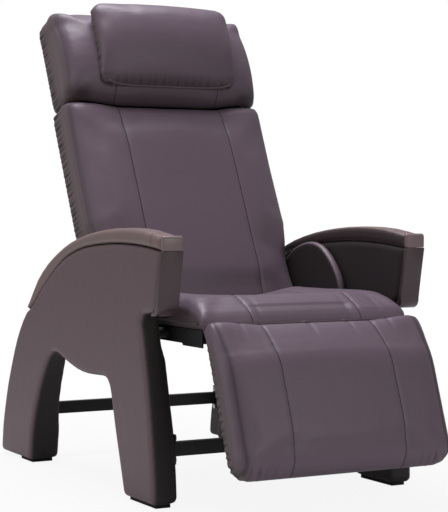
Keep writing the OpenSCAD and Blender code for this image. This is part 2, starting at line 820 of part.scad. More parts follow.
// Black side covers of the seat frame, lower towards the front
module seat_side_covers() {
    x = rail_out + seat_gap;
    color(steel) both() plate_x(x, x + cover_t) difference() {
        polygon([[rail_front, rail_bottom - 9], [foot_front + 20, rail_bottom - 9],
            [foot_front + 24, rail_bottom - 4], [pivot[0] - rail_h / 2 - 4, rail_bottom - 4],
            [pivot[0] - rail_h / 2 - 4, rail_top], [rail_front, rail_top]]);
        for (p = mount_holes) translate(p) circle(d = mount_d + 14 + 2 * seat_gap);
    }
}

// ---- Control box ----

box_size = [160, 150, 38];
box_at = [-200, middle_tube_y - 33 - box_size[1], rail_top - box_size[2]];
box_back = box_at[1] + box_size[1];
// Rocker switch: half width, half height, place of its middle along the box
switch_w = 10;
switch_h = 7;
switch_x = box_at[0] + 40;
switch_z = box_at[2] + box_size[2] / 2;
switch_tilt = 8;
switch_pin_d = 3;

module control_box() {
    color("#232326") difference() {
        translate(box_at) cube(box_size);
        translate([switch_x - switch_w - seat_gap, box_back - 9, switch_z - switch_h - 1.5])
            cube([2 * (switch_w + seat_gap), 10, 2 * (switch_h + 1.5)]);
        rod_x(switch_x - switch_w - 4, switch_x + switch_w + 4, switch_pin_d + 2 * run_gap,
            [box_back - 2, switch_z]);
    }
}

// Inlet for a mains lead: flange with a shallow recess and three contacts
module power_inlet() {
    x = box_at[0] + 100;
    color("#101012") difference() {
        translate([x - 24, box_back, switch_z - 14]) cube([48, 4, 28]);
        translate([x - 12, box_back + 1, switch_z - 8]) cube([24, 4, 16]);
    }
    color(bright) for (p = [[-7, -2], [0, 2], [7, -2]])
        translate([x + p[0] - 1, box_back + 0.9, switch_z + p[1] - 2]) cube([2, 3, 4]);
}

module power_switch() {
    color("#8c1c1c") translate([0, box_back - 2, switch_z]) rotate([switch_tilt, 0, 0]) {
        plate_x(switch_x - switch_w, switch_x + switch_w)
            polygon([[-4, -4], [-4, 4], [2.6, switch_h], [1.6, 0], [2.6, -switch_h]]);
        rod_x(switch_x - switch_w - 3, switch_x + switch_w + 3, switch_pin_d);
    }
}

// ---- Backrest ----

// Frame of the backrest: +Z up along it, -Y out of its face, origin at the pivot
module in_back() {
    translate([0, recline_y, recline_z]) rotate([-lean, 0, 0]) children();
}

// Place in Y and Z, as the backrest sees it, of a point p in the chair's frame
function seen_from(p, o, a) = let (d = p - o)
    [d[0] * cos(a) - d[1] * sin(a), d[0] * sin(a) + d[1] * cos(a)];

back_rear = back_t - back_face;
back_pad_in = back_pad_t - back_face;
// Half width of the space inside the backrest
back_hollow = back_low_half_w - side_pad_t;
back_rail_out = back_hollow - 7;
back_rail_w = 20;
back_rail_d = 36;
// Lower edges of the back and head cushions above the pivot
back_from = 20;
crease = 3;
head_from = back_from + back_len + crease;
head_to = head_from + head_len;
cover_v = back_rear - cover_t;
rail_v = cover_v - seat_gap - back_rail_d;
back_tube = 30;

// Half width of the backrest at height w along it
function back_w(w) = back_low_half_w
    + (back_half_w - back_low_half_w) * ease(w, 165, 240);

// Front face of the head cushion at height s above its lower edge
function head_front(s) = -back_face + edge_in(s, 30) + edge_in(head_len - s, 34)
    - head_swell * pow(sin(180 * min(1, s / head_len * 0.96 + 0.06)), 0.8);

module wing_holes(d) {
    for (w = [92, 130]) both() rod_x(back_rail_out - back_rail_w - 1, wing_x + wing_t - 2, d, [rail_v + 14, w]);
}

module back_hollow_space(from, to) {
    translate([-back_hollow, back_pad_in, from])
        cube([2 * back_hollow, 200, to - from]);
}

module back_cushion() {
    color(hide) in_back() difference() {
        pile([for (s = stations(back_len, 36, 10)) let (w = back_from + s) [w, section(
            back_w(w) - edge_in(s, 10) - edge_in(back_len - s, 12),
            -back_face + edge_in(s, 18) + edge_in(back_len - s, 34),
            back_rear - edge_in(back_len - s, 24),
            edge_r, crown_at(s, back_len, crown), tuck, true
        )]]);
        back_hollow_space(back_from - 1, back_from + back_len + 1);
        wing_holes(wing_bolt_d + 2 * bolt_gap);
    }
}

module head_cushion() {
    color(hide) in_back() difference() {
        pile([for (s = stations(head_len, 60, 6)) [head_from + s, section(
            head_half_w - edge_in(s, 14) - edge_in(head_len - s, 52),
            head_front(s), back_rear - edge_in(s, 20) - edge_in(head_len - s, 40),
            edge_r, crown_at(s, head_len, 4), tuck, true
        )]]);
        back_hollow_space(head_from - 1, head_to - 36);
    }
}

pillow_from = head_from + pillow_up;

// Rear of the pillow at height s above its lower edge: along the head cushion's face
// up to its middle, then straight on
function pillow_rear(s) = -5 + min(head_front(s + pillow_up),
    s > pillow_len / 2 ? -back_face - head_swell : 0);

module head_pillow() {
    color(hide) in_back() pile([for (s = stations(pillow_len, 44, 5)) let (
        rear = pillow_rear(s),
        w = pillow_w / 2 - edge_in(s, 30) - edge_in(pillow_len - s, 34),
        thick = pillow_t - 14 - 0.72 * (edge_in(s, 44) + edge_in(pillow_len - s, 44))
    ) [pillow_from + s, section(w, rear - thick, rear, 34, 14 * thick / pillow_t, 1, false)]]);
}

module back_rail() {
    color(steel) in_back() difference() {
        union() {
            translate([back_rail_out - back_rail_w, rail_v, -12])
                cube([back_rail_w, back_rail_d, head_to - 42]);
            plate_x(back_rail_out - 10, back_rail_out - 10 + ear_t) {
                bar([0, 0], [rail_v + 12, 8], 15);
            }
        }
        translate([back_rail_out - back_rail_w + rail_wall, rail_v + rail_wall, 40])
            cube([back_rail_w - 2 * rail_wall, back_rail_d - 2 * rail_wall, head_to]);
        rod_x(back_rail_out - 11, back_rail_out + 1, pivot_d, [0, 0]);
        wing_holes(wing_bolt_d + 2 * bolt_gap);
    }
}

module back_rail_left() { back_rail(); }
module back_rail_right() { mirror([1, 0, 0]) back_rail(); }

module recline_pivot_bolts() {
    color(bright) both() mirror([1, 0, 0])
        bolt_x(-rail_out - 1, -back_rail_out + 10, pivot_d, pivot);
}

module knee_pivot_bolts() {
    color(bright) both() mirror([1, 0, 0])
        bolt_x(-knee_lug_x - ear_t - 1, -knee_lug_x + knee_gap + ear_t + 0.5, knee_d, knee);
}

// Play of an actuator's pin in the slot of its lever
slot_gap = 2;

// Lever plate between a frame and a pin, with a slot for the pin: p is the pin and
// root the far end, both seen from the pivot
module lever(x, root, p, travel) {
    sagitta = norm(p) * (1 - cos(travel / 2));
    plate_x(x - 5, x + 5) difference() {
        bar(root, p, act_pin_d / 2 + 8);
        bar(p * (1 - (sagitta + 1) / norm(p)), p, act_pin_d / 2 + slot_gap);
    }
}

lever_tube_w = 12;

module back_lever_tube() {
    color(steel) in_back() {
        x = back_rail_out - back_rail_w;
        tube_x(-x, x, [rail_v, lever_tube_w], [back_tube, back_tube], rail_wall);
        difference() {
            lever(recline_act_x, [rail_v + 18, lever_tube_w + 12],
                seen_from(recline_pin, pivot, lean), recline_travel);
            translate([0, rail_v, lever_tube_w]) cube([2 * x, back_tube, back_tube]);
        }
    }
}

upper_tube_w = head_from - 41;
top_tube_w = head_to - 84;

module back_cross_tubes() {
    x = back_rail_out - back_rail_w;
    color(steel) in_back() difference() {
        for (w = [upper_tube_w, top_tube_w])
            tube_x(-x, x, [rail_v, w], [back_tube, back_tube], rail_wall);
        translate([screw_x, screw_v, upper_tube_w - 1])
            cylinder(d = screw_d + 2 * run_gap, h = rail_wall + 2);
    }
}

module back_cover() {
    color("#2a2527") in_back() translate([-back_hollow + seat_gap, cover_v, back_from])
        cube([2 * (back_hollow - seat_gap), cover_t, head_to - 36 - seat_gap - back_from]);
}

// ---- Side wings ----

wing_x = back_low_half_w + seat_gap;
wing_bolt_d = 8;

// Outline of a wing, from the recline pivot
wing_line = concat([[-199, 39], [107, 39]], curve([
    [125, 47], [131, 73], [123, 101], [103, 123], [78, 140],
    [48, 159], [18, 179], [-19, 192], [-61, 199], [-97, 196],
    [-127, 186], [-157, 166], [-185, 139], [-207, 108], [-217, 76],
    [-213, 49]
], 2));

module side_wing() {
    color(hide) difference() {
        soft_plate([for (p = wing_line) pivot + p], wing_x, wing_t, wing_edge);
        in_back() for (w = [92, 130]) rod_x(wing_x - 1, wing_x + 12, wing_bolt_d,
            [rail_v + 14, w]);
    }
}

module side_wing_left() { side_wing(); }
module side_wing_right() { mirror([1, 0, 0]) side_wing(); }

module wing_bolts() {
    color(bright) in_back() for (w = [92, 130]) both() mirror([1, 0, 0])
        bolt_x(-wing_x - 12, -back_rail_out + back_rail_w, wing_bolt_d, [rail_v + 14, w]);
}

// ---- Massage carriage ----

track_d = 24;
track_v = rail_v - track_d;
track_wall = 2;

module guide_rails() {
    color(bright) in_back() both() difference() {
        translate([track_half - track_w / 2, track_v, lever_tube_w])
            cube([track_w, track_d, upper_tube_w + back_tube - lever_tube_w]);
        translate([track_half - track_w / 2 - 1, track_v + track_wall, lever_tube_w - 1])
            cube([track_w - track_wall + 1, track_d - 2 * track_wall, head_from]);
    }
}

// Lead screw and its gearbox
screw_x = 110;
screw_v = rail_v + 15;
gear_top = lever_tube_w + back_tube + 26;

module travel_motor() {
    color("#2b2b2e") in_back() difference() {
        union() {
            translate([screw_x - 20, screw_v - 15, lever_tube_w + back_tube])
                cube([40, 30, gear_top - lever_tube_w - back_tube]);
            rod_x(screw_x - 86, screw_x - 19, 30, [screw_v + 2, lever_tube_w + back_tube + 19]);
        }
        translate([screw_x, screw_v, gear_top - 16])
            cylinder(d = screw_d + 2 * run_gap, h = 20);
    }
}

module lead_screw() {
    color(bright) in_back() translate([screw_x, screw_v, gear_top - 14])
        cylinder(d = screw_d, h = upper_tube_w + rail_wall + 10 - gear_top + 14);
}

// Frame of the carriage inside the backrest
module on_carriage() {
    in_back() translate([0, 0, carriage_w]) children();
}

cheek_x = track_half - track_w / 2 - 14;
cheek_t = 4;
carriage_half = 58;
plate_v = back_rear - cover_t - seat_gap - 8;
shaft_v = track_v + 19.3;

module carriage_frame() {
    color(bright) on_carriage() difference() {
        union() {
            translate([-cheek_x, plate_v, -carriage_half])
                cube([2 * cheek_x, 3, 2 * carriage_half]);
            both() translate([cheek_x - cheek_t, track_v + 4, -50])
                cube([cheek_t, plate_v - track_v - 3, 100]);
        }
        rod_x(-cheek_x - 1, cheek_x + 1, knead_d + 2 * run_gap, [shaft_v, 0]);
    }
}

module carriage_shoes() {
    g = seat_gap;
    color(nylon) on_carriage() both() for (w = [-36, 36])
        translate([cheek_x, track_v + track_wall + g, w - 14])
            cube([track_half + track_w / 2 - track_wall - g - cheek_x,
                track_d - 2 * (track_wall + g), 28]);
}

// Lower end of the nut above the kneading shaft's axis
nut_w = 16;

module screw_nut() {
    color("#b5913f") on_carriage() difference() {
        translate([screw_x - 14, screw_v - 14, nut_w]) cube([28, plate_v - screw_v + 14, 24]);
        translate([screw_x, screw_v, nut_w - 1]) cylinder(d = screw_d + 2 * run_gap, h = 26);
    }
}

module kneading_motor() {
    color("#2b2b2e") on_carriage() difference() {
        union() {
            translate([-24, shaft_v - 26, -28]) cube([48, plate_v - shaft_v + 26, 56]);
            translate([0, shaft_v, 27]) cylinder(d = 44, h = 70);
        }
        rod_x(-25, 25, knead_d + 2 * run_gap, [shaft_v, 0]);
    }
}

// Eccentric bosses of the kneading shaft
boss_d = 36;
boss_w = 20;
boss_throw = 6;
// Thickness of a roller arm, and its distance from the inner face of its boss
arm_t2 = 6;
arm_step = 7;
// End play of a roller
roller_gap = 0.5;
boss_x = roller_half - roller_w / 2 - roller_gap - arm_t2 - arm_step;

module kneading_shaft() {
    color("#c9ccd0") on_carriage() {
        rod_x(-cheek_x - 3, cheek_x + 3, knead_d, [shaft_v, 0]);
        for (side = [-1, 1]) rod_x(side * (boss_x + boss_w / 2) - boss_w / 2,
            side * (boss_x + boss_w / 2) + boss_w / 2, boss_d, [shaft_v, side * boss_throw]);
    }
}

arm_x = boss_x + arm_step;
axle_d = 8;
roller_v = back_pad_in + 9 + roller_d / 2;

module roller_arm(side) {
    c = [shaft_v, side * boss_throw];
    color("#9a9da1") on_carriage() mirror([side < 0 ? 1 : 0, 0, 0]) difference() {
        union() {
            rod_x(boss_x, boss_x + boss_w, boss_d + 10, c);
            for (up = [-1, 1]) {
                plate_x(arm_x, arm_x + arm_t2)
                    bar(c, [roller_v, side * boss_throw + up * roller_reach], 9);
                rod_x(arm_x, arm_x + arm_t2 + roller_w + 4, axle_d,
                    [roller_v, side * boss_throw + up * roller_reach]);
            }
        }
        rod_x(boss_x - 1, boss_x + boss_w + 1, boss_d + 2 * run_gap, c);
    }
}

module roller_arm_left() { roller_arm(1); }
module roller_arm_right() { roller_arm(-1); }

module massage_roller(side, up) {
    x = arm_x + arm_t2 + roller_gap;
    color("#e2dfd6") on_carriage() mirror([side < 0 ? 1 : 0, 0, 0])
        translate([x, roller_v, side * boss_throw + up * roller_reach]) rotate([0, 90, 0])
        rotate_extrude() difference() {
            union() {
                translate([0, 5]) square([roller_d / 2, roller_w - 10]);
                square([roller_d / 2 - 5, roller_w]);
                for (z = [5, roller_w - 5]) translate([roller_d / 2 - 5, z]) circle(5);
            }
            translate([-10, -1]) square([10 + axle_d / 2 + run_gap, roller_w + 2]);
        }
}

module roller_upper_left() { massage_roller(1, 1); }
module roller_lower_left() { massage_roller(1, -1); }
module roller_upper_right() { massage_roller(-1, 1); }
module roller_lower_right() { massage_roller(-1, -1); }

// ---- Legrest ----

module in_legrest() {
    translate([0, knee_y, knee_z]) rotate([-calf_lean, 0, 0]) children();
}

calf_rear = calf_t - calf_face;
calf_top = 11;
// Length over which the legrest's top rolls over
calf_roll = 112;
calf_all = calf_len + calf_top;
// Gap between the knee lug and the legrest's ear
knee_gap = 3;
calf_hollow = 254;
calf_board_t = 10;
// Front of the board behind the legrest's padding
calf_board_v = calf_rear - 24;
// Lower and upper end of the space behind the padding
hollow_low = 24 - calf_len;
hollow_high = -44;

// Front and rear of the legrest at height w
function calf_front(w) = let (s = max(0, (w - calf_top - 4) / calf_roll + 1))
    -calf_face * sqrt(1 - s * s) + edge_in(w + calf_len, 42);
function calf_back(w) = calf_rear - edge_in(w + calf_len, 16) - edge_in(calf_top + 1 - w, 6);

calf_stations = concat(
    [for (t = [0, 0.1, 0.3, 0.6, 1]) -calf_len + 42 * t],
    [for (t = [-270, -235, -200, -160, -125, -100, -76, -54, -36, -24, -12, -3, 5]) t],
    [calf_top]
);

module legrest_cushion() {
    color(hide) in_legrest() difference() {
        pile([for (w = calf_stations) [w, section(
            calf_half_w - edge_in(w + calf_len, 44) - edge_in(calf_top + 1 - w, 7),
            calf_front(w), max(calf_back(w), calf_front(w) + 8), edge_r,
            crown_at(w + calf_len, calf_all, crown), tuck, true
        )]]);
        translate([-calf_hollow, calf_board_v - seat_gap, hollow_low])
            cube([2 * calf_hollow, 60, hollow_high - hollow_low]);
        knee_pockets();
    }
}

// Pockets round the knee lugs and the legrest's ears
module knee_pockets() {
    both() translate([knee_lug_x - 17, -14, hollow_high - 1])
        cube([ear_t + 20, 60, 80]);
}

module legrest_board() {
    color(ply) in_legrest() 
        translate([seat_gap - calf_hollow, calf_board_v, hollow_low + seat_gap])
        cube([2 * (calf_hollow - seat_gap), calf_board_t,
            hollow_high - hollow_low - 2 * seat_gap]);
}

calf_plate_v = calf_board_v + calf_board_t;

module legrest_hinges() {
    color(steel) in_legrest() both() difference() {
        union() {
            plate_x(knee_lug_x - knee_gap - ear_t, knee_lug_x - knee_gap) {
                bar([0, 0], [-4, -34], 9);
                translate([calf_plate_v, -130]) square([8, 98]);
            }
            translate([knee_lug_x - 36, calf_plate_v, -130]) cube([30, 3, 76]);
        }
        translate([0, calf_board_v - 5, hollow_low]) cube([300, calf_board_t + 5,
            hollow_high - hollow_low - 1.5]);
        rod_x(knee_lug_x - knee_gap - ear_t - 1, knee_lug_x, knee_d + 2 * run_gap);
    }
}

module legrest_lever() {
    pin = seen_from(legrest_pin, knee, calf_lean);
    color(steel) in_legrest() {
        difference() {
            lever(legrest_act_x, [calf_plate_v + 10, -80], pin, legrest_travel);
            translate([0, calf_plate_v - 40, -200]) cube([200, 40, 400]);
        }
        translate([legrest_act_x - 22, calf_plate_v, -110]) cube([44, 3, 50]);
    }
}

module legrest_cover() {
    color("#1f1c1e") in_legrest() difference() {
        translate([seat_gap - calf_hollow, calf_rear - cover_t, hollow_low + seat_gap])
            cube([2 * (calf_hollow - seat_gap), cover_t,
                hollow_high - hollow_low - 2 * seat_gap]);
        translate([legrest_act_x - 12, -60, -122]) cube([24, 120, 100]);
    }
}

arm_panel_left();
arm_panel_right();
arm_pad_left();
arm_pad_right();
arm_cap_left();
arm_cap_right();
arm_fascia_left();
arm_fascia_right();
feet();
front_crossbar();
rear_crossbar();
crossbar_screws();
seat_rail_left();
seat_rail_right();
seat_cross_tubes();
actuator_crossmember();
seat_mount_bolts();
seat_board();
seat_cushion();
seat_side_covers();
control_box();
power_inlet();
power_switch();
recline_pivot_bolts();
knee_pivot_bolts();
actuator_base_pins();
back_rail_left();
back_rail_right();
back_lever_tube();
back_cross_tubes();
guide_rails();
back_cover();
back_cushion();
head_cushion();
head_pillow();
side_wing_left();
side_wing_right();
wing_bolts();
travel_motor();
lead_screw();
carriage_frame();
carriage_shoes();
screw_nut();
kneading_motor();
kneading_shaft();
roller_arm_left();
roller_arm_right();
roller_upper_left();
roller_lower_left();
roller_upper_right();
roller_lower_right();
legrest_board();
legrest_hinges();
legrest_lever();
legrest_cushion();
legrest_cover();
recline_actuator();
recline_rod();
legrest_actuator();
legrest_rod();
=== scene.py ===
"""Reclining massage chair: padded leatherette, glossy trims and a painted steel frame.

Sizes are metres in the chair's own frame: +X to the sitter's left, +Y to the rear, +Z up.
"""

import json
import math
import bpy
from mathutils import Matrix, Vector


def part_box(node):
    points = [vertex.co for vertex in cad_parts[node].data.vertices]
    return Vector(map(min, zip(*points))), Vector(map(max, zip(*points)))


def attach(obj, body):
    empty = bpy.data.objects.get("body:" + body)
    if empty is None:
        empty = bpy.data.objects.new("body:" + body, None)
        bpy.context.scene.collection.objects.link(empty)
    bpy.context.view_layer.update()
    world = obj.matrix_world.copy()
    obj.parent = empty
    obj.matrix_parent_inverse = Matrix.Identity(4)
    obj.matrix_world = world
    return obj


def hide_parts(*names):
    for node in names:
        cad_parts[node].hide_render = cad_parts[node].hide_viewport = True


bl_info = {
    "name": "Reclining massage chair",
    "version": (1, 0, 0),
    "blender": (4, 5, 0),
    "location": "View3D > Sidebar > Chair",
    "description": "Upholsters and finishes the packed frame of a reclining massage chair",
    "category": "Object",
}

import bmesh
import bpy
import numpy as np
from mathutils import Vector
from mathutils.bvhtree import BVHTree

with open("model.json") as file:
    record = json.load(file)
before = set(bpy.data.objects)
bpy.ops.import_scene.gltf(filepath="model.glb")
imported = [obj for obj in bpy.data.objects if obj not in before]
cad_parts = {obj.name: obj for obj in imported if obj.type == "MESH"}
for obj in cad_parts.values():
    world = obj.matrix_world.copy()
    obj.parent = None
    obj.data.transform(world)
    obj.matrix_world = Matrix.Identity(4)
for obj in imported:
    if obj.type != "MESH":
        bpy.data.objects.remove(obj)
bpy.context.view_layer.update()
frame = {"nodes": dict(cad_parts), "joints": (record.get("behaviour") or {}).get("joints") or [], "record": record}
JOINTS = {joint["name"]: joint for joint in frame["joints"]}

# Recline pivot and lean of the backrest, knee pivot and lean of the legrest
PIVOT = Vector(JOINTS["recline"]["pos_m"])
BACK_UP = Vector(JOINTS["carriage_travel"]["axis"])
KNEE = Vector(JOINTS["legrest_lift"]["pos_m"])
CALF_LEAN = math.radians(20.5)
CALF_UP = (0.0, math.sin(CALF_LEAN), math.cos(CALF_LEAN))

# The chair's two sides, and which way along X each lies
SIDES = (("left", 1), ("right", -1))

# Which way the faces of the backrest's, the legrest's and the seat's cushions look
BACK_FACE = (0.0, -BACK_UP.z, BACK_UP.y)
CALF_FACE = (0.0, -CALF_UP[2], CALF_UP[1])
SEAT_FACE = (0.0, -0.3, 0.95)

# Voxels of the remeshed cushions, largest on the longest ones, and of the arms' covers
BACK_VOXEL, CUSHION_VOXEL, PILLOW_VOXEL = 0.008, 0.0065, 0.006
PANEL_VOXEL, PAD_VOXEL = 0.0045, 0.003

# Depth behind which the sewing holds the covers of the backrest's cushions
SEWN_BEHIND = -0.012

# Half width of a sewn channel, spacing of the puckers along a sewn edge, and how far the
# corners stand up and out on both sides of the crease under the head cushion
CHANNEL = 0.005
PUCKERS = 0.014
CORNER_RISE, CORNER_SPREAD = 0.014, 0.005

# Cloth simulation: its length in frames, and the rounds that even out its folds
CLOTH_FRAMES = 20
EVENING_ROUNDS = 12

# Leatherette's patterns, in cycles per metre: clouds 120 mm across, as the cover stretches
# over the foam, dents 40 mm across, and a pebble grain of 3 mm, which is 1 mm on real
# leatherette and is drawn coarser so that it shows
CLOUDS, DENTS, PEBBLES = 8.0, 26.0, 330.0

# Share of the bright background that mirrored rays see
MIRRORED_SHARE = 0.1

# The camera's place, and in radians how far it looks down and is turned from the front
CAMERA_PLACE = (-1.895, -3.563, 0.6756)
CAMERA_DIP, CAMERA_TURN = 0.030, 0.492


def hex_colour(code):
    """Linear RGBA of an sRGB hex colour."""
    parts = [int(code[i : i + 2], 16) / 255 for i in (1, 3, 5)]
    linear = [p / 12.92 if p <= 0.04045 else ((p + 0.055) / 1.055) ** 2.4 for p in parts]
    return (*linear, 1.0)


# ---- Sizes and colours a user may change ----


class ChairLeather(bpy.types.PropertyGroup):
    # Face and Side are one leatherette: Face carries a painted lavender sheen, Side is the browner tone down the
    # sides
    face: bpy.props.FloatVectorProperty(
        name="Face", description="Leatherette on the cushions' faces",
        subtype="COLOR", size=4, min=0, max=1, default=hex_colour("#685763"))
    side: bpy.props.FloatVectorProperty(
        name="Side", description="Leatherette on the cushions' sides",
        subtype="COLOR", size=4, min=0, max=1, default=hex_colour("#6a5b5d"))
    panel: bpy.props.FloatVectorProperty(
        name="Arm panel", description="Leatherette on the arms",
        subtype="COLOR", size=4, min=0, max=1, default=hex_colour("#655155"))
    pad: bpy.props.FloatVectorProperty(
        name="Arm pad", description="Leatherette on the arms' top pads",
        subtype="COLOR", size=4, min=0, max=1, default=hex_colour("#7d6865"))
    # Shadow is the colour of painted shade in creases, puckers and valleys and on faces turned from the light
    shadow: bpy.props.FloatVectorProperty(
        name="Painted shade", description="Dark leatherette on the edges and inner faces",
        subtype="COLOR", size=4, min=0, max=1, default=hex_colour("#1c1414"))
    thread: bpy.props.FloatVectorProperty(
        name="Seam", description="Colour in the sewn lines",
        subtype="COLOR", size=4, min=0, max=1, default=hex_colour("#1d1719"))
    seam_x: bpy.props.FloatProperty(
        name="Seam offset", description="Distance of the lengthwise seams from the middle",
        unit="LENGTH", default=0.144, min=0.1, max=0.2)
    back_seam_x: bpy.props.FloatProperty(
        name="Back seam offset", description="The same distance on the back and head cushions",
        unit="LENGTH", default=0.15, min=0.1, max=0.2)
    nose: bpy.props.FloatProperty(
        name="Nose", description="Length of the arm pad's separate front piece",
        unit="LENGTH", default=0.048, min=0.03, max=0.08)
    seam_depth: bpy.props.FloatProperty(
        name="Seam depth", description="Depth of the sewn channels",
        unit="LENGTH", default=0.0014, min=0.0, max=0.01)
    swell: bpy.props.FloatProperty(
        name="Swell", description="Most that a cushion's padding may swell",
        unit="LENGTH", default=0.01, min=0.0, max=0.03)


class ChairTrim(bpy.types.PropertyGroup):
    gloss: bpy.props.FloatVectorProperty(
        name="Trim", description="Glossy moulded trims on the arms",
        subtype="COLOR", size=4, min=0, max=1, default=hex_colour("#4a393c"))
    cap: bpy.props.FloatVectorProperty(
        name="Caps", description="Glossy moulded caps of the arm pads",
        subtype="COLOR", size=4, min=0, max=1, default=hex_colour("#826f70"))
    steel: bpy.props.FloatVectorProperty(
        name="Steel", description="Powder coated frame and crossbars",
        subtype="COLOR", size=4, min=0, max=1, default=hex_colour("#1b1a1d"))


class ChairStage(bpy.types.PropertyGroup):
    lens: bpy.props.FloatProperty(
        name="Lens", description="Focal length on a 36 mm sensor",
        unit="CAMERA", default=112.9, min=20, max=300)
    floor: bpy.props.FloatVectorProperty(
        name="Floor", description="Floor colour",
        subtype="COLOR", size=4, min=0, max=1, default=hex_colour("#d2d2d2"))


# ---- Shader nodes ----


def add(tree, kind, inputs=None, **settings):
    """Adds a node with its settings, its values and its links."""
    node = tree.nodes.new(kind)
    for name, value in settings.items():
        setattr(node, name, value)
    for socket, value in (inputs or {}).items():
        if isinstance(value, bpy.types.NodeSocket):
            tree.links.new(value, node.inputs[socket])
        else:
            node.inputs[socket].default_value = value
    return node


def blank_material(name):
    material = bpy.data.materials.new(name)
    material.use_nodes = True
    tree = material.node_tree
    tree.nodes.clear()
    return material, tree


def finish_material(tree, shader):
    add(tree, "ShaderNodeOutputMaterial", {"Surface": shader.outputs[0]})


def leatherette(name, face, side, settings, seam=None, roughness=0.44):
    """PVC leatherette, embossed with a fine pebble grain and calendered to a soft satin:
    broad highlights, slightly darker in the sewn lines, a painted lavender sheen on the
    faces that is browner down the sides, and painted shade where the mesh asks for it."""
    material, tree = blank_material(name)
    place = add(tree, "ShaderNodeTexCoord").outputs["Object"]
    cloud = add(tree, "ShaderNodeTexNoise", {"Vector": place, "Scale": CLOUDS, "Detail": 3.0})
    grain = add(tree, "ShaderNodeTexVoronoi", {"Vector": place, "Scale": PEBBLES},
                feature="SMOOTH_F1")
    # Where the cover turns down the sides out of the painted sheen, and where shade is painted, from the mesh
    turned = add(tree, "ShaderNodeAttribute", attribute_name="side")
    dark = add(tree, "ShaderNodeAttribute", attribute_name="dark")
    hue = add(tree, "ShaderNodeMix",
              {0: turned.outputs["Fac"], 6: tuple(face), 7: tuple(side)}, data_type="RGBA")
    tone = add(tree, "ShaderNodeMapRange",
               {"Value": cloud.outputs["Fac"], 3: 0.94, 4: 1.05})
    toned = add(tree, "ShaderNodeMix",
                {0: 1.0, 6: hue.outputs[2], 7: tone.outputs[0]},
                data_type="RGBA", blend_type="MULTIPLY")
    # Painted shade: towards the shadow colour as far as the dark layer says
    colour = add(tree, "ShaderNodeMix",
                 {0: dark.outputs["Fac"], 6: toned.outputs[2], 7: tuple(settings.shadow)},
                 data_type="RGBA").outputs[2]
    height = add(tree, "ShaderNodeMath", {0: grain.outputs["Distance"], 1: 0.35},
                 operation="MULTIPLY").outputs[0]
    if seam:
        # Sewn line 2.4 mm wide, on both sides of the middle where it is set off in X
        split = add(tree, "ShaderNodeSeparateXYZ", {0: place})
        across = split.outputs[seam[0]]
        if seam[0] == "X":
            across = add(tree, "ShaderNodeMath", {0: across}, operation="ABSOLUTE").outputs[0]
        off = add(tree, "ShaderNodeMath", {0: across, 1: seam[1]}, operation="SUBTRACT")
        away = add(tree, "ShaderNodeMath", {0: off.outputs[0]}, operation="ABSOLUTE")
        line = add(tree, "ShaderNodeMapRange",
                   {"Value": away.outputs[0], 1: 0.0007, 2: 0.0019, 3: 0.92, 4: 0.0},
                   interpolation_type="SMOOTHSTEP")
        colour = add(tree, "ShaderNodeMix",
                     {0: line.outputs[0], 6: colour, 7: tuple(settings.thread)},
                     data_type="RGBA").outputs[2]
    shine = add(tree, "ShaderNodeMapRange",
                {"Value": cloud.outputs["Fac"], 3: roughness - 0.04, 4: roughness + 0.06})
    pebble = add(tree, "ShaderNodeBump", {"Height": height, "Distance": 0.0006,
                                          "Strength": 0.35})
    soft = add(tree, "ShaderNodeTexNoise", {"Vector": place, "Scale": DENTS, "Detail": 2.0})
    relief = add(tree, "ShaderNodeBump",
                 {"Height": soft.outputs["Fac"], "Distance": 0.004, "Strength": 0.18,
                  "Normal": pebble.outputs[0]})
    # Where shade is painted the hide is also duller
    dulled = add(tree, "ShaderNodeMath", {0: dark.outputs["Fac"], 1: 0.16, 2: shine.outputs[0]},
                 operation="MULTIPLY_ADD")
    shader = add(tree, "ShaderNodeBsdfPrincipled",
                 {"Base Color": colour, "Roughness": dulled.outputs[0], "IOR": 1.5,
                  "Normal": relief.outputs[0], "Sheen Weight": 0.04, "Sheen Roughness": 0.5})
    finish_material(tree, shader)
    return material


def moulded(name, colour, roughness, grain_mm, depth, coat=0.0):
    """Injection moulded plastic: even colour, with the mould's texture in its surface."""
    material, tree = blank_material(name)
    place = add(tree, "ShaderNodeTexCoord").outputs["Object"]
    mottle = add(tree, "ShaderNodeTexNoise", {"Vector": place, "Scale": 40.0, "Detail": 4.0})
    texture = add(tree, "ShaderNodeTexNoise",
                  {"Vector": place, "Scale": 1000 / grain_mm, "Detail": 2.0})
    tone = add(tree, "ShaderNodeMapRange", {"Value": mottle.outputs["Fac"], 3: 0.93, 4: 1.07})
    tinted = add(tree, "ShaderNodeMix",
                 {0: 1.0, 6: tuple(colour), 7: tone.outputs[0]},
                 data_type="RGBA", blend_type="MULTIPLY")
    shine = add(tree, "ShaderNodeMapRange",
                {"Value": mottle.outputs["Fac"], 3: roughness * 0.9, 4: roughness * 1.12})
    bump = add(tree, "ShaderNodeBump",
               {"Height": texture.outputs["Fac"], "Distance": depth, "Strength": 0.5})
    shader = add(tree, "ShaderNodeBsdfPrincipled",
                 {"Base Color": tinted.outputs[2], "Roughness": shine.outputs[0],
                  "IOR": 1.5, "Normal": bump.outputs[0], "Coat Weight": coat,
                  "Coat Roughness": 0.14})
    finish_material(tree, shader)
    return material


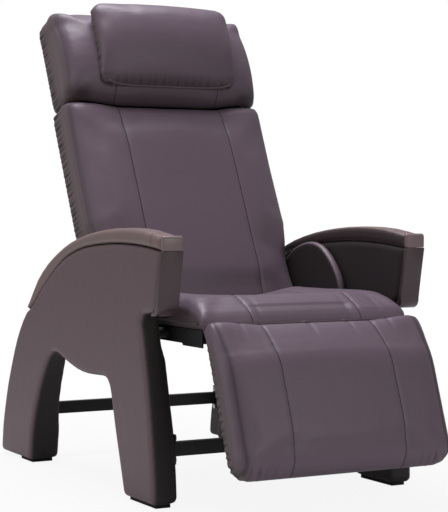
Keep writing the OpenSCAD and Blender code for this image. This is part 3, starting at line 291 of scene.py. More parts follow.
def worked_metal(name, colour, roughness, line_mm):
    """Zinc plated or turned metal: fine lines along the part in its shine."""
    material, tree = blank_material(name)
    place = add(tree, "ShaderNodeTexCoord").outputs["Object"]
    stretched = add(tree, "ShaderNodeMapping",
                    {"Vector": place, "Scale": (40.0, 1000 / line_mm, 1000 / line_mm)})
    lines = add(tree, "ShaderNodeTexNoise",
                {"Vector": stretched.outputs[0], "Scale": 1.0, "Detail": 3.0})
    shine = add(tree, "ShaderNodeMapRange",
                {"Value": lines.outputs["Fac"], 3: roughness * 0.7, 4: roughness * 1.35})
    tone = add(tree, "ShaderNodeMapRange", {"Value": lines.outputs["Fac"], 3: 0.88, 4: 1.05})
    tinted = add(tree, "ShaderNodeMix",
                 {0: 1.0, 6: tuple(colour), 7: tone.outputs[0]},
                 data_type="RGBA", blend_type="MULTIPLY")
    shader = add(tree, "ShaderNodeBsdfPrincipled",
                 {"Base Color": tinted.outputs[2], "Metallic": 1.0,
                  "Roughness": shine.outputs[0]})
    finish_material(tree, shader)
    return material


def birch_plywood(name):
    """Raw birch plywood: pale face veneer with long straight grain."""
    material, tree = blank_material(name)
    place = add(tree, "ShaderNodeTexCoord").outputs["Object"]
    long = add(tree, "ShaderNodeMapping", {"Vector": place, "Scale": (6.0, 90.0, 90.0)})
    figure = add(tree, "ShaderNodeTexNoise",
                 {"Vector": long.outputs[0], "Scale": 1.0, "Detail": 6.0, "Distortion": 0.6})
    colour = add(tree, "ShaderNodeMix",
                 {0: figure.outputs["Fac"], 6: hex_colour("#c9a878"), 7: hex_colour("#94703f")},
                 data_type="RGBA")
    bump = add(tree, "ShaderNodeBump",
               {"Height": figure.outputs["Fac"], "Distance": 0.0004, "Strength": 0.4})
    shader = add(tree, "ShaderNodeBsdfPrincipled",
                 {"Base Color": colour.outputs[2], "Roughness": 0.6,
                  "Normal": bump.outputs[0]})
    finish_material(tree, shader)
    return material


def seen_ray(tree):
    """How much a ray sees of the bright background: 1 straight from the camera, a small
    share when mirrored or through glass."""
    path = add(tree, "ShaderNodeLightPath")
    mirrored = add(tree, "ShaderNodeMath", {0: path.outputs["Is Glossy Ray"],
                                            1: path.outputs["Is Transmission Ray"]},
                   operation="MAXIMUM")
    share = add(tree, "ShaderNodeMath", {0: mirrored.outputs[0], 1: MIRRORED_SHARE},
                operation="MULTIPLY")
    return add(tree, "ShaderNodeMath", {0: path.outputs["Is Camera Ray"], 1: share.outputs[0]},
               operation="MAXIMUM").outputs[0]


# ---- Shapes ----


def only(obj):
    """Selects one object and makes it active."""
    bpy.ops.object.select_all(action="DESELECT")
    obj.select_set(True)
    bpy.context.view_layer.objects.active = obj


def positions(obj):
    co = np.empty(len(obj.data.vertices) * 3, np.float32)
    obj.data.vertices.foreach_get("co", co)
    return co.reshape(-1, 3).astype(float)


def normals(obj):
    n = np.empty(len(obj.data.vertices) * 3, np.float32)
    obj.data.vertex_normals.foreach_get("vector", n)
    return n.reshape(-1, 3).astype(float)


def set_positions(obj, co):
    obj.data.vertices.foreach_set("co", co.astype(np.float32).ravel())
    obj.data.update()


def apply_modifier(obj, kind, **settings):
    only(obj)
    modifier = obj.modifiers.new(kind.title(), kind)
    for name, value in settings.items():
        setattr(modifier, name, value)
    bpy.ops.object.modifier_apply(modifier=modifier.name)


def copy_of(node, name):
    """A merged copy of a node's mesh as a new object."""
    obj = bpy.data.objects.new(name, frame["nodes"][node].data.copy())
    obj.data.materials.clear()
    bpy.context.scene.collection.objects.link(obj)
    mesh = bmesh.new()
    mesh.from_mesh(obj.data)
    bmesh.ops.remove_doubles(mesh, verts=mesh.verts, dist=2e-5)
    bmesh.ops.recalc_face_normals(mesh, faces=mesh.faces)
    mesh.to_mesh(obj.data)
    mesh.free()
    return obj


def shell(node, name, voxel, rounds):
    """A node's form in even quads, its corners softened over some rounds."""
    obj = copy_of(node, name)
    apply_modifier(obj, "REMESH", mode="VOXEL", voxel_size=voxel, use_smooth_shade=True)
    apply_modifier(obj, "SMOOTH", factor=0.5, iterations=rounds)
    return obj


def bump_window(x, middle, width):
    """1 at the middle, falling smoothly to 0 about two widths away."""
    return np.exp(-(((x - middle) / width) ** 2))


def ramp(x, low, high):
    """Smooth step from 0 at low to 1 at high."""
    t = np.clip((x - low) / (high - low), 0, 1)
    return t * t * (3 - 2 * t)


def evened(obj, moves, rounds):
    """Each point's move, averaged with its neighbours' over some rounds."""
    pairs = np.empty(len(obj.data.edges) * 2, np.int32)
    obj.data.edges.foreach_get("vertices", pairs)
    first, second = pairs[0::2], pairs[1::2]
    count = np.bincount(pairs, minlength=len(moves))[:, None]
    for _ in range(rounds):
        total = np.stack([np.bincount(first, moves[second, k], len(moves))
                          + np.bincount(second, moves[first, k], len(moves))
                          for k in range(3)], axis=1)
        moves = 0.5 * moves + 0.5 * total / np.maximum(count, 1)
    return moves


def puff(obj, sewn, most, gain):
    """Swells the padding with a short cloth simulation. sewn marks the points that the
    sewing holds, gain scales each point's swelling and most caps it."""
    rest = positions(obj)
    held = obj.vertex_groups.new(name="sewn")
    held.add([int(i) for i in np.nonzero(sewn)[0]], 1.0, "REPLACE")
    only(obj)
    cloth = obj.modifiers.new("Cloth", "CLOTH")
    cloth.settings.quality = 4
    cloth.settings.mass = 0.3
    cloth.settings.tension_stiffness = 12
    cloth.settings.compression_stiffness = 12
    cloth.settings.use_pressure = True
    cloth.settings.uniform_pressure_force = 4.0
    cloth.settings.effector_weights.gravity = 0.0
    cloth.settings.vertex_group_mass = held.name
    cloth.point_cache.frame_start = 1
    cloth.point_cache.frame_end = CLOTH_FRAMES
    scene = bpy.context.scene
    for step in range(1, CLOTH_FRAMES + 1):
        scene.frame_set(step)
    bpy.ops.object.modifier_apply(modifier=cloth.name)
    scene.frame_set(1)
    obj.vertex_groups.clear()
    moved = (positions(obj) - rest) * gain[:, None]
    size = np.linalg.norm(moved, axis=1)
    moved *= (most * np.tanh(size / most) / np.maximum(size, 1e-9))[:, None]
    set_positions(obj, rest + evened(obj, moved, EVENING_ROUNDS))


def stuff(obj, sewn, most, gain):
    """Puffs the padding and doubles the mesh's detail."""
    puff(obj, sewn, most, gain)
    apply_modifier(obj, "SUBSURF", levels=1, render_levels=1)


def paint(obj, **layers):
    """Stores a value from 0 to 1 at each point under each name, for the material."""
    for name, values in layers.items():
        layer = obj.data.attributes.new(name, "FLOAT", "POINT")
        each = np.ones(len(obj.data.vertices)) * values
        layer.data.foreach_set("value", np.clip(each, 0, 1).astype(np.float32))


def facing(obj, direction):
    """How far each point's normal looks in a direction, from -1 to 1."""
    return normals(obj) @ np.array(direction, float)


def measured(obj, face, pivot, up):
    """Of each point: its place, how far it looks where the cushion's face does, its
    distance from the middle, its depth behind a pivot and its height along up."""
    co = positions(obj)
    y, z = co[:, 1] - pivot.y, co[:, 2] - pivot.z
    return (co, facing(obj, face), np.abs(co[:, 0]),
            y * up[2] - z * up[1], y * up[1] + z * up[2])


def in_back(obj):
    """The cushion's points as the backrest sees them, its face to the front."""
    return measured(obj, BACK_FACE, PIVOT, BACK_UP)


def in_calf(obj):
    """The cushion's points as the legrest sees them, its face to the front."""
    return measured(obj, CALF_FACE, KNEE, CALF_UP)


def from_back(x, v, w):
    """Places at x, a depth behind the recline pivot and a height along the backrest."""
    s, c = BACK_UP.y, BACK_UP.z
    return np.stack([x, PIVOT.y + v * c + w * s, PIVOT.z - v * s + w * c], axis=1)


def push(obj, amount):
    """Moves each point along its normal."""
    set_positions(obj, positions(obj) + normals(obj) * amount[:, None])


def fill_seams(obj, seam_x, front):
    """Evens out the CAD form's channels at the lengthwise seams, which are drawn finer
    later."""
    filling, half_width = 0.0011, 0.008
    x = np.abs(positions(obj)[:, 0])
    push(obj, filling * bump_window(x, seam_x, half_width) * ramp(front, 0.3, 0.8))


def seams(x, seam_x, depth, shown):
    """How far the lengthwise seams draw the cover in; shown is 1 where they are seen."""
    return -depth * bump_window(x, seam_x, CHANNEL) * shown


def raise_corners(obj, co, off):
    """Makes a cushion's corners stand up and out beside the crease under the head cushion.
    off is each point's distance from the crease."""
    x = np.abs(co[:, 0])
    rise = CORNER_RISE * ramp(x, 0.12, 0.25) * (1 - ramp(off, 0, 0.14))
    out = CORNER_SPREAD * ramp(x, 0.235, 0.255) * (1 - ramp(off, 0, 0.02))
    co[:, 0] += np.sign(co[:, 0]) * out
    set_positions(obj, co + rise[:, None] * np.array(BACK_UP))


def side_edges(front, x, v):
    """On the backrest's cushions: the valley between the face and the side boxing, and the
    edge where the sides meet the rear cover."""
    return (bump_window(front, 0.55, 0.2) * ramp(x, 0.2, 0.24),
            ramp(x, 0.25, 0.265) * ramp(v, 0.05, 0.06))


def fuller_corners(a, b, power):
    """How far out a point moves where a round corner, of radius 1 in a and b, is filled
    out to a squarer one."""
    a, b = np.maximum(a, 0), np.maximum(b, 0)
    return np.sqrt(a * a + b * b + 1e-12) / (a**power + b**power + 1e-12) ** (1 / power)


def gathers(t, length, seed):
    """Uneven ripple of sewn gathers along t, from -1 to 1: a main wave of some length, a
    shorter one and a longer one."""
    a, b = seed * 1.7, seed * 2.9
    return (np.sin(2 * math.pi * t / length + a)
            + 0.6 * np.sin(2 * math.pi * t / (length * 0.61) + b)
            + 0.4 * np.sin(2 * math.pi * t / (length * 1.9) + a * b)) / 2.0


def dress(obj, node, body, finish):
    """Gives a piece its material and its body, and puts it in a node's place."""
    obj.data.materials.clear()
    obj.data.materials.append(bpy.data.materials[finish])
    only(obj)
    bpy.ops.object.shade_smooth()
    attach(obj, body)
    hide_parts(node)


def welt(name, host, places, radius, body, closed, dark):
    """Leatherette piping of a radius, sewn on the host's surface beside these places."""
    surface = BVHTree.FromPolygons([v.co for v in host.data.vertices],
                                   [tuple(p.vertices) for p in host.data.polygons])
    curve = bpy.data.curves.new(name, "CURVE")
    curve.dimensions = "3D"
    curve.bevel_depth = radius
    curve.bevel_resolution = 2
    line = curve.splines.new("POLY")
    line.points.add(len(places) - 1)
    line.use_cyclic_u = closed
    for point, place in zip(line.points, places):
        spot, outward = surface.find_nearest(Vector(place))[:2]
        point.co = (*(spot + outward * radius * 0.6), 1)
    obj = bpy.data.objects.new(name, curve)
    bpy.context.scene.collection.objects.link(obj)
    only(obj)
    bpy.ops.object.convert(target="MESH")
    obj = bpy.context.active_object
    obj.data.materials.append(bpy.data.materials["Plain leatherette"])
    # Painted shade as far as dark says, with the sides' browner tone
    paint(obj, side=1, dark=dark)
    bpy.ops.object.shade_smooth()
    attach(obj, body)


# ---- Pieces ----


class CHAIR_OT_back_cushion(bpy.types.Operator):
    """Back cushion: crowned leatherette with two lengthwise seams"""

    bl_idname = "chair.back_cushion"
    bl_label = "Back cushion"

    def execute(self, context):
        leather = context.scene.chair_leather
        obj = shell("back_cushion", "back_upholstery", BACK_VOXEL, 2)
        front, _, v, w = in_back(obj)[1:]
        fill_seams(obj, leather.seam_x, front)
        # Fullest along the middle of its length
        ends = ramp(w, w.min() + 0.02, w.min() + 0.14) \
            * (0.1 + 0.9 * ramp(w.max() - w, 0.02, 0.22))
        stuff(obj, v > SEWN_BEHIND, leather.swell, ramp(front, 0.0, 0.8) * ends)
        co, front, x, v, w = in_back(obj)
        below = w.max() - w
        raise_corners(obj, co, below)
        # Small gathers where the sides are sewn to the rear
        pucker, groove = 0.0018, 0.0022
        rim = ramp(x, 0.235, 0.26) * bump_window(v, 0.038, 0.02)
        ripple = gathers(w, PUCKERS, 1.0)
        valley, edge = side_edges(front, x, v)
        sewn = seams(x, leather.back_seam_x, leather.seam_depth,
                     ramp(front, 0.2, 0.7) * ramp(below, 0.03, 0.09))
        push(obj, sewn + pucker * rim * ripple - groove * valley)
        # Painted shade in the valley beside the boxing, along the rear edge and in the puckers' hollows
        paint(obj, side=1 - ramp(front, 0.1, 0.65),
              dark=0.42 * valley + 0.95 * edge + 1.3 * rim * ramp(-ripple, 0.0, 0.3))
        dress(obj, "back_cushion", "backrest", "Back leatherette")
        return {"FINISHED"}


class CHAIR_OT_head_cushion(bpy.types.Operator):
    """Head cushion: swelling section above the crease, rounded at its upper corners"""

    bl_idname = "chair.head_cushion"
    bl_label = "Head cushion"

    def execute(self, context):
        leather = context.scene.chair_leather
        obj = shell("head_cushion", "head_upholstery", BACK_VOXEL, 2)
        front, x, v, w = in_back(obj)[1:]
        fill_seams(obj, leather.seam_x, front)
        # Upper corners, fuller than a quarter round
        top, round_off, fullness = w.max(), 0.062, 5.0
        across = (x - x.max() + round_off) / round_off
        out = fuller_corners(across, (w - top + round_off) / round_off, fullness) - 1
        co = positions(obj)
        co[:, 0] += np.sign(co[:, 0]) * np.maximum(across, 0) * round_off * out
        rise = (np.maximum(w - top + round_off, 0) * out)[:, None]
        set_positions(obj, co + rise * np.array(BACK_UP))
        stuff(obj, v > SEWN_BEHIND, leather.swell * 0.8, ramp(front, 0.0, 0.8))
        co, front, x, v, w = in_back(obj)
        above = w - w.min()
        raise_corners(obj, co, above)
        # Small gathers where the sides and the top are sewn to the rear
        pucker, groove = 0.0016, 0.002
        rim = np.clip(ramp(x, 0.235, 0.262) + ramp(w, top - 0.03, top - 0.008), 0, 1) \
            * bump_window(v, 0.038, 0.02)
        around = np.where(x > 0.24, w, x + 0.6)
        ripple = gathers(around, PUCKERS, 2.0)
        valley, edge = side_edges(front, x, v)
        sewn = seams(x, leather.back_seam_x, leather.seam_depth, ramp(front, 0.2, 0.7))
        push(obj, sewn + pucker * rim * ripple - groove * valley)
        # Painted shade in the valley beside the boxing, along the rear edge, in the puckers and down in the crease
        crease = 1 - ramp(above, 0, 0.05)
        paint(obj, side=1 - ramp(front, 0.1, 0.65),
              dark=0.35 * valley + 0.95 * edge + 0.5 * crease
              + 1.3 * rim * ramp(-ripple, 0.0, 0.3))
        dress(obj, "head_cushion", "backrest", "Back leatherette")
        return {"FINISHED"}


class CHAIR_OT_head_pillow(bpy.types.Operator):
    """Head pillow: full and crowned, gathered at its corners, with a welt round its rear"""

    bl_idname = "chair.head_pillow"
    bl_label = "Head pillow"

    def execute(self, context):
        leather = context.scene.chair_leather
        obj = shell("head_pillow", "pillow_upholstery", PILLOW_VOXEL, 2)
        co, _, x, v, w = in_back(obj)
        # Crowned: the face falls back to its ends, most at the bottom, and to its sides
        mid, half = (w.max() + w.min()) / 2, (w.max() - w.min()) / 2
        up, out = (w - mid) / half, x / x.max()
        fall = 0.1 * np.clip(up, 0, 1) ** 3 + 0.5 * np.clip(-up + 0.25, 0, 1.2) ** 2.2 \
            + 0.1 * out**5
        back = ((v.max() - v) * fall)[:, None]
        set_positions(obj, co - back * np.array(BACK_FACE))
        front = facing(obj, BACK_FACE)
        stuff(obj, front < -0.2, leather.swell * 0.6, ramp(front, 0.0, 0.7))
        co, front, x, v, w = in_back(obj)
        low, high, rear = w.min(), w.max(), v.max()
        # Gathers beside the rear edge of the sides, and longer ones along the bottom
        at_side = ramp(x, 0.15, 0.185)
        at_low = 1 - ramp(w, low + 0.012, low + 0.04)
        at_high = ramp(w, high - 0.03, high - 0.008)
        around = np.where(x > 0.165, w, co[:, 0])
        spacing, pucker, more_at_corner = 0.022, 0.0013, 0.0006
        ripple = gathers(around, spacing, 3.0)
        near = bump_window(v, rear - 0.012, 0.012)
        long = bump_window(v, rear - 0.018, 0.022)
        lifted = ramp(w, low + 0.03, low + 0.07)
        reach = np.clip(near * at_side * lifted + 0.45 * long * at_low
                        + 0.5 * near * at_high, 0, 1)
        corner = at_side * np.clip(at_low + at_high, 0, 1)
        push(obj, (pucker + more_at_corner * corner) * reach * ripple)
        # Painted shade in the puckers, in the fold that the bottom makes above its welt, and down the sides
        fold = (1 - ramp(w, low + 0.006, low + 0.034)) * ramp(front, -0.9, -0.3)
        paint(obj, side=0.9 * (1 - ramp(front, 0.2, 0.7)) * (1 - at_high) * (1 - at_low),
              dark=reach * 1.2 * at_side * ramp(-ripple, 0.0, 0.3)
              + fold * (0.6 + 0.2 * ramp(-ripple, -0.2, 0.8))
              + 0.22 * (1 - ramp(front, 0.1, 0.6)) * at_side)
        dress(obj, "head_pillow", "backrest", "Plain leatherette")
        # Welt round the rear edge, 4.6 mm thick, on an oval with squarish corners
        half, mid, tall, squareness = x.max() - 0.002, (low + high) / 2, (high - low) / 2, 0.36
        turn = np.linspace(0, 2 * math.pi, 120, endpoint=False)
        px = half * np.sign(np.cos(turn)) * np.abs(np.cos(turn)) ** squareness
        pw = mid + tall * np.sign(np.sin(turn)) * np.abs(np.sin(turn)) ** squareness
        # The welt takes a little painted shade
        welt("pillow_welt", obj, from_back(px, rear - 0.007, pw), 0.0023, "backrest", True, 0.1)
        return {"FINISHED"}


class CHAIR_OT_seat_cushion(bpy.types.Operator):
    """Seat cushion: rolled over at its front, with two lengthwise seams"""

    bl_idname = "chair.seat_cushion"
    bl_label = "Seat cushion"

    def execute(self, context):
        leather = context.scene.chair_leather
        obj = shell("seat_cushion", "seat_upholstery", CUSHION_VOXEL, 2)
        co, up = positions(obj), facing(obj, SEAT_FACE)
        fill_seams(obj, leather.seam_x, up)
        stuff(obj, co[:, 2] < co[:, 2].min() + 0.012, leather.swell * 0.6, ramp(up, 0.0, 0.8))
        co, up = positions(obj), facing(obj, SEAT_FACE)
        x, y = np.abs(co[:, 0]), co[:, 1]
        front, rear, low = y.min(), y.max(), co[:, 2].min()
        sag, crease, step, bulge = 0.025, 0.001, 0.0032, 0.007
        # Sat in: lower along the middle, behind the front roll
        loose = ramp(co[:, 2], low + 0.02, low + 0.07)
        inward = ramp(y, front + 0.06, front + 0.2)
        co[:, 2] -= loose * inward * sag * (1 - ramp(x, 0.05, 0.245))
        set_positions(obj, co)
        depth = seams(x, leather.seam_x, leather.seam_depth, ramp(up, 0.2, 0.7))
        # Short creases across the front roll beside the seams
        roll = bump_window(y, front + 0.04, 0.03) * ramp(up, -0.2, 0.3)
        for at in (-0.118, 0.118, 0.2):
            depth -= crease * roll * bump_window(co[:, 0], at, 0.007)
        # The front band steps in below the crest where it is sewn to the top
        band = (1 - ramp(x, 0.115, 0.142)) * (1 - ramp(y, front + 0.036, front + 0.047))
        depth -= step * band * ramp(up, -0.2, 0.5)
        # The rear edge swells towards the back cushion
        depth += bulge * ramp(y, rear - 0.004, rear) * bump_window(co[:, 2], low + 0.05, 0.035)
        push(obj, depth)
        # Painted shade on the side boxing, on faces turned downward and on the front band below the crest
        paint(obj, side=1 - ramp(up, 0.0, 0.5),
              dark=0.55 * ramp(x, 0.245, 0.268) * (1 - ramp(up, 0.0, 0.5))
              + 0.25 * (1 - ramp(up, -0.6, -0.1)) + 0.16 * band * ramp(up, -0.6, -0.1))
        dress(obj, "seat_cushion", "base", "Seamed leatherette")
        # Piping along the lower edge of each side, turned in a little at the front
        half, round_off = x.max() - 0.001, 0.05
        run = np.linspace(rear - 0.03, front + round_off, 40)
        turn = np.linspace(0, math.pi / 5, 6)
        px = np.concatenate([np.full(len(run), half), half - round_off * (1 - np.cos(turn))])
        py = np.concatenate([run, front + round_off * (1 - np.sin(turn))])
        for end, out in SIDES:
            places = np.stack([px * out, py, np.full(len(px), low + 0.014)], axis=1)
            # The piping is painted 0.6 of the way to the shadow colour, as shade
            welt("seat_piping_" + end, obj, places, 0.002, "base", False, 0.6)
        return {"FINISHED"}


class CHAIR_OT_legrest_cushion(bpy.types.Operator):
    """Legrest cushion: broad pad with two lengthwise seams and boxed sides"""

    bl_idname = "chair.legrest_cushion"
    bl_label = "Legrest cushion"

    def execute(self, context):
        leather = context.scene.chair_leather
        obj = shell("legrest_cushion", "legrest_upholstery", CUSHION_VOXEL, 2)
        front, _, v, w = in_calf(obj)[1:]
        fill_seams(obj, leather.seam_x, front)
        stuff(obj, v > -0.03, leather.swell * 0.6, ramp(front, 0.0, 0.8) * ramp(-w, 0.01, 0.04))
        co, front, x, v, w = in_calf(obj)
        # The top edge stands a little higher at its ends
        ends = 0.011 + 0.014 * ramp(x, 0.13, 0.26)
        co[:, 2] += ends * ramp(w, -0.07, 0.0) * ramp(-v, 0.02, 0.045)
        # The face rolls back broadly under the knees
        roll_back, length = 0.03, 0.13
        roll = np.clip((w + length) / length, 0, 1) ** 2 * ramp(-v, 0.0, 0.03)
        co -= roll_back * roll[:, None] * np.array(CALF_FACE)
        set_positions(obj, co)
        front = facing(obj, CALF_FACE)
        depth = seams(x, leather.seam_x, leather.seam_depth, ramp(front, 0.1, 0.6))
        # Valley down each side where the boxing is sewn to the face
        groove = 0.003
        valley = bump_window(x, 0.26, 0.0055) * ramp(front, 0.05, 0.4)
        # Puckers behind it, deeper low down, and small folds under the lower corners
        pucker, more_low_down, small_fold = 0.0011, 0.0018, 0.0009
        rim = ramp(x, 0.25, 0.274) * bump_window(v, -0.008, 0.012)
        low = 1 - ramp(w, w.min() + 0.02, w.min() + 0.09)
        ripple = gathers(w, 0.017, 4.0)
        under = bump_window(w, w.min() + 0.012, 0.012) * ramp(x, 0.16, 0.22)
        fold = gathers(x, 0.02, 5.0)
        depth += (pucker + more_low_down * low) * rim * ripple - groove * valley \
            + small_fold * under * fold
        # Short creases over the top edge
        crease = 0.0014
        top = ramp(w, -0.05, -0.015)
        for at in (-0.02, 0.085, 0.19, -0.2):
            depth -= crease * top * bump_window(co[:, 0], at, 0.006)
        push(obj, depth)
        # Painted shade in the valleys, in the puckers' hollows, in the folds under the lower corners and on the
        # boxing's downward faces
        boxing = ramp(x, 0.235, 0.26) * (1 - ramp(w, -0.06, -0.02))
        paint(obj, side=boxing * (1 - ramp(front, 0.1, 0.65)),
              dark=0.6 * valley + (0.7 + 0.5 * low) * rim * ramp(-ripple, -0.1, 0.5)
              + 0.45 * under * ramp(-fold, 0.0, 0.5)
              + 0.25 * boxing * (1 - ramp(front, 0.0, 0.4)))
        dress(obj, "legrest_cushion", "legrest", "Seamed leatherette")
        return {"FINISHED"}


class CHAIR_OT_side_wings(bpy.types.Operator):
    """Side wings beside the hips: padded plates, painted with shade on their inner faces"""

    bl_idname = "chair.side_wings"
    bl_label = "Side wings"

    def execute(self, context):
        for end, out in SIDES:
            obj = shell("side_wing_" + end, "wing_upholstery_" + end, PANEL_VOXEL, 3)
            # Painted shade on the inner faces, turned away from the light
            paint(obj, side=0.5, dark=ramp(facing(obj, (-out, 0, 0)), 0.68, 0.97))
            dress(obj, "side_wing_" + end, "backrest", "Plain leatherette")
        return {"FINISHED"}


class CHAIR_OT_arms(bpy.types.Operator):
    """Arms: upholstered panels with an arch, and the leather pads on top"""

    bl_idname = "chair.arms"
    bl_label = "Arms"

    def execute(self, context):
        for end, out in SIDES:
            # Painted shade: the hide is painted darker on the arch, the legs' fronts and the inner faces, which
            # face away from the light
            panel = shell("arm_panel_" + end, "arm_upholstery_" + end, PANEL_VOXEL, 2)
            outward = facing(panel, (out, 0, 0))
            paint(panel, side=0, dark=0.97 * (1 - ramp(outward, 0.15, 0.75)))
            dress(panel, "arm_panel_" + end, "base", "Arm leatherette")
            pad = shell("arm_pad_" + end, "arm_pad_upholstery_" + end, PAD_VOXEL, 1)
            # Painted shade on the pad's inward faces
            inward = facing(pad, (-out, 0, 0))
            paint(pad, side=0, dark=0.85 * ramp(inward, 0.35, 0.85))
            dress(pad, "arm_pad_" + end, "base", "Pad leatherette")
        return {"FINISHED"}


class CHAIR_OT_trims(bpy.types.Operator):
    """Glossy moulded caps and fascias on the fronts of the arms"""

    bl_idname = "chair.trims"
    bl_label = "Arm trims"

    def execute(self, context):
        for end, _ in SIDES:
            for part, finish in (("cap", "Gloss cap ABS"), ("fascia", "Gloss ABS")):
                node = f"arm_{part}_{end}"
                obj = copy_of(node, f"glossy_{part}_{end}")
                apply_modifier(obj, "BEVEL", width=0.0016, segments=3, limit_method="ANGLE",
                               angle_limit=math.radians(28))
                dress(obj, node, "base", finish)
                bpy.ops.object.shade_smooth_by_angle(angle=math.radians(35))
        return {"FINISHED"}


class CHAIR_OT_finishes(bpy.types.Operator):
    """Materials, and their place on the rigid pieces"""

    bl_idname = "chair.finishes"
    bl_label = "Finishes"

    def execute(self, context):
        leather, trim = context.scene.chair_leather, context.scene.chair_trim
        # PVC leatherette, one for each set of seams and each tone
        leatherette("Seamed leatherette", leather.face, leather.side, leather,
                    seam=("X", leather.seam_x))
        leatherette("Back leatherette", leather.face, leather.side, leather,
                    seam=("X", leather.back_seam_x))
        leatherette("Plain leatherette", leather.face, leather.side, leather)
        leatherette("Arm leatherette", leather.panel, leather.panel, leather)
        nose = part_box("arm_pad_left")[0].y + leather.nose
        leatherette("Pad leatherette", leather.pad, leather.pad, leather,
                    seam=("Y", nose), roughness=0.4)
        # Gloss ABS: broad soft highlights under a thin clear lacquer
        moulded("Gloss ABS", trim.gloss, 0.3, 6.0, 0.00008, coat=0.3)
        moulded("Gloss cap ABS", trim.cap, 0.36, 6.0, 0.00006, coat=0.12)
        by_slot = {
            # Powder coat: near black and half matt, with an orange peel of 1.6 mm
            "black_steel": moulded("Powder coated steel", trim.steel, 0.45, 1.6, 0.0003),
            # Moulded ABS: dull black, with a leathery mould grain of 1.2 mm
            "black_plastic": moulded("Textured ABS", hex_colour("#161517"), 0.55, 1.2, 0.0003),
            # Rubber: black and quite matt
            "foot_rubber": moulded("Moulded rubber", hex_colour("#0e0d0e"), 0.75, 2.0, 0.0004),
            # Polycarbonate: deep red, smooth and shiny
            "red_plastic": moulded("Red polycarbonate", hex_colour("#8c1c1c"), 0.25, 3.0, 0.0001),
            # Nylon: milky white and half matt
            "white_nylon": moulded("Natural nylon", hex_colour("#dedace"), 0.5, 2.0, 0.0002),
            # Zinc plate: bright and a little blue, with lines 1.2 mm apart
            "bright_steel": worked_metal("Zinc plated steel", hex_colour("#b9bcc0"), 0.32, 1.2),
            # Brass: warm yellow, with the lathe's lines 1 mm apart
            "nut_brass": worked_metal("Turned brass", hex_colour("#b5913f"), 0.3, 1.0),
            "plywood": birch_plywood("Birch plywood"),
        }
        slot_of = {s["node"]: s["material_slot"] for s in frame["record"]["subparts"]}
        for name, obj in frame["nodes"].items():
            finish = by_slot.get(slot_of[name])
            if finish:
                obj.data.materials.clear()
                obj.data.materials.append(finish)
        return {"FINISHED"}


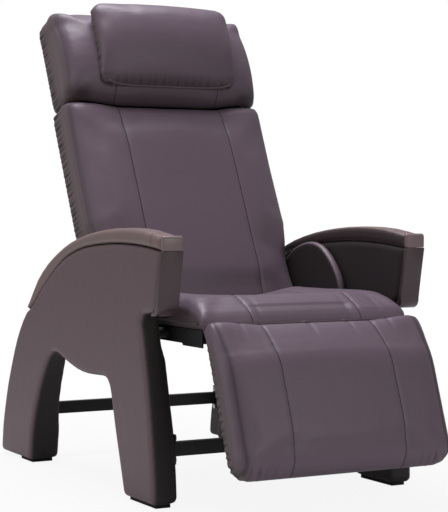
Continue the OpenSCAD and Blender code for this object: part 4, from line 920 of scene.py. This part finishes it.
class CHAIR_OT_stage(bpy.types.Operator):
    """Pale floor, soft studio light and the camera"""

    bl_idname = "chair.stage"
    bl_label = "Stage"

    def execute(self, context):
        scene = context.scene
        stage = scene.chair_stage
        bpy.ops.object.select_all(action="DESELECT")
        bpy.ops.mesh.primitive_plane_add(size=40, location=(0, 0, 0))
        floor = context.active_object
        floor.name = "studio_floor"
        # Matt paper under the chair, which passes into the white background between 0.8
        # and 1.9 m from the middle
        material, tree = blank_material("Matt paper")
        place = add(tree, "ShaderNodeTexCoord").outputs["Object"]
        far = add(tree, "ShaderNodeVectorMath", {0: place}, operation="LENGTH")
        fade = add(tree, "ShaderNodeMapRange",
                   {"Value": far.outputs["Value"], 1: 0.8, 2: 1.9, 3: 0.9, 4: 1.0})
        seen = seen_ray(tree)
        share = add(tree, "ShaderNodeMath", {0: seen, 1: fade.outputs[0]}, operation="MULTIPLY")
        matt = add(tree, "ShaderNodeBsdfDiffuse", {"Color": tuple(stage.floor)})
        white = add(tree, "ShaderNodeEmission", {"Color": (1, 1, 1, 1), "Strength": 1.0})
        mixed = add(tree, "ShaderNodeMixShader",
                    {0: share.outputs[0], 1: matt.outputs[0], 2: white.outputs[0]})
        finish_material(tree, mixed)
        floor.data.materials.append(material)

        world = bpy.data.worlds.new("Studio")
        scene.world = world
        world.use_nodes = True
        tree = world.node_tree
        tree.nodes.clear()
        soft = add(tree, "ShaderNodeBackground", {"Color": (1, 1, 1, 1), "Strength": 0.2})
        plain = add(tree, "ShaderNodeBackground", {"Color": (1, 1, 1, 1), "Strength": 1.0})
        mixed = add(tree, "ShaderNodeMixShader",
                    {0: seen_ray(tree), 1: soft.outputs[0], 2: plain.outputs[0]})
        add(tree, "ShaderNodeOutputWorld", {"Surface": mixed.outputs[0]})

        # Cool light from above and a little warm light from the sides
        cool, warm = (0.93, 0.91, 1.0), (1.0, 0.96, 0.93)
        for name, tint, place, aim, size, watts in (
            ("overhead_softbox", cool, (-0.3, 0.7, 4.2), (0, 0, 0.6), (3.0, 2.2), 178),
            ("left_softbox", warm, (-3.2, -0.5, 1.4), (0, 0, 0.6), (1.4, 1.8), 12.5),
            ("front_softbox", warm, (0.9, -3.8, 1.4), (0, 0, 0.5), (1.6, 1.6), 19),
        ):
            lamp = bpy.data.lights.new(name, "AREA")
            lamp.shape = "RECTANGLE"
            lamp.size, lamp.size_y = size
            lamp.energy = watts
            lamp.color = tint
            obj = bpy.data.objects.new(name, lamp)
            scene.collection.objects.link(obj)
            obj.location = place
            obj.rotation_euler = (Vector(aim) - Vector(place)).to_track_quat("-Z", "Y").to_euler()

        camera = bpy.data.objects.new("camera", bpy.data.cameras.new("camera"))
        scene.collection.objects.link(camera)
        camera.location = CAMERA_PLACE
        camera.rotation_euler = (math.pi / 2 - CAMERA_DIP, 0, -CAMERA_TURN)
        camera.data.lens = stage.lens
        camera.data.sensor_width = 36
        camera.data.clip_end = 100
        scene.camera = camera
        scene.view_settings.view_transform = "Standard"
        return {"FINISHED"}


class CHAIR_PT_panel(bpy.types.Panel):
    """Sizes, colours and the pieces of the chair"""

    bl_idname = "CHAIR_PT_panel"
    bl_label = "Massage chair"
    bl_space_type = "VIEW_3D"
    bl_region_type = "UI"
    bl_category = "Chair"

    def draw(self, context):
        for group in (context.scene.chair_leather, context.scene.chair_trim,
                      context.scene.chair_stage):
            for name in group.bl_rna.properties.keys():
                if name not in ("rna_type", "name"):
                    self.layout.prop(group, name)
        for step in STEPS:
            self.layout.operator(step.bl_idname)


STEPS = (
    CHAIR_OT_stage, CHAIR_OT_finishes, CHAIR_OT_back_cushion, CHAIR_OT_head_cushion,
    CHAIR_OT_head_pillow, CHAIR_OT_seat_cushion, CHAIR_OT_legrest_cushion,
    CHAIR_OT_side_wings, CHAIR_OT_arms, CHAIR_OT_trims,
)
GROUPS = (ChairLeather, ChairTrim, ChairStage)


def register():
    for cls in (*GROUPS, *STEPS, CHAIR_PT_panel):
        bpy.utils.register_class(cls)
    scene = bpy.types.Scene
    scene.chair_leather = bpy.props.PointerProperty(type=ChairLeather)
    scene.chair_trim = bpy.props.PointerProperty(type=ChairTrim)
    scene.chair_stage = bpy.props.PointerProperty(type=ChairStage)


def unregister():
    for name in ("chair_leather", "chair_trim", "chair_stage"):
        delattr(bpy.types.Scene, name)
    for cls in (CHAIR_PT_panel, *reversed(STEPS), *reversed(GROUPS)):
        bpy.utils.unregister_class(cls)


def main():
    register()
    for step in STEPS:
        group, name = step.bl_idname.split(".")
        getattr(getattr(bpy.ops, group), name)()


if __name__ == "__main__":
    main()
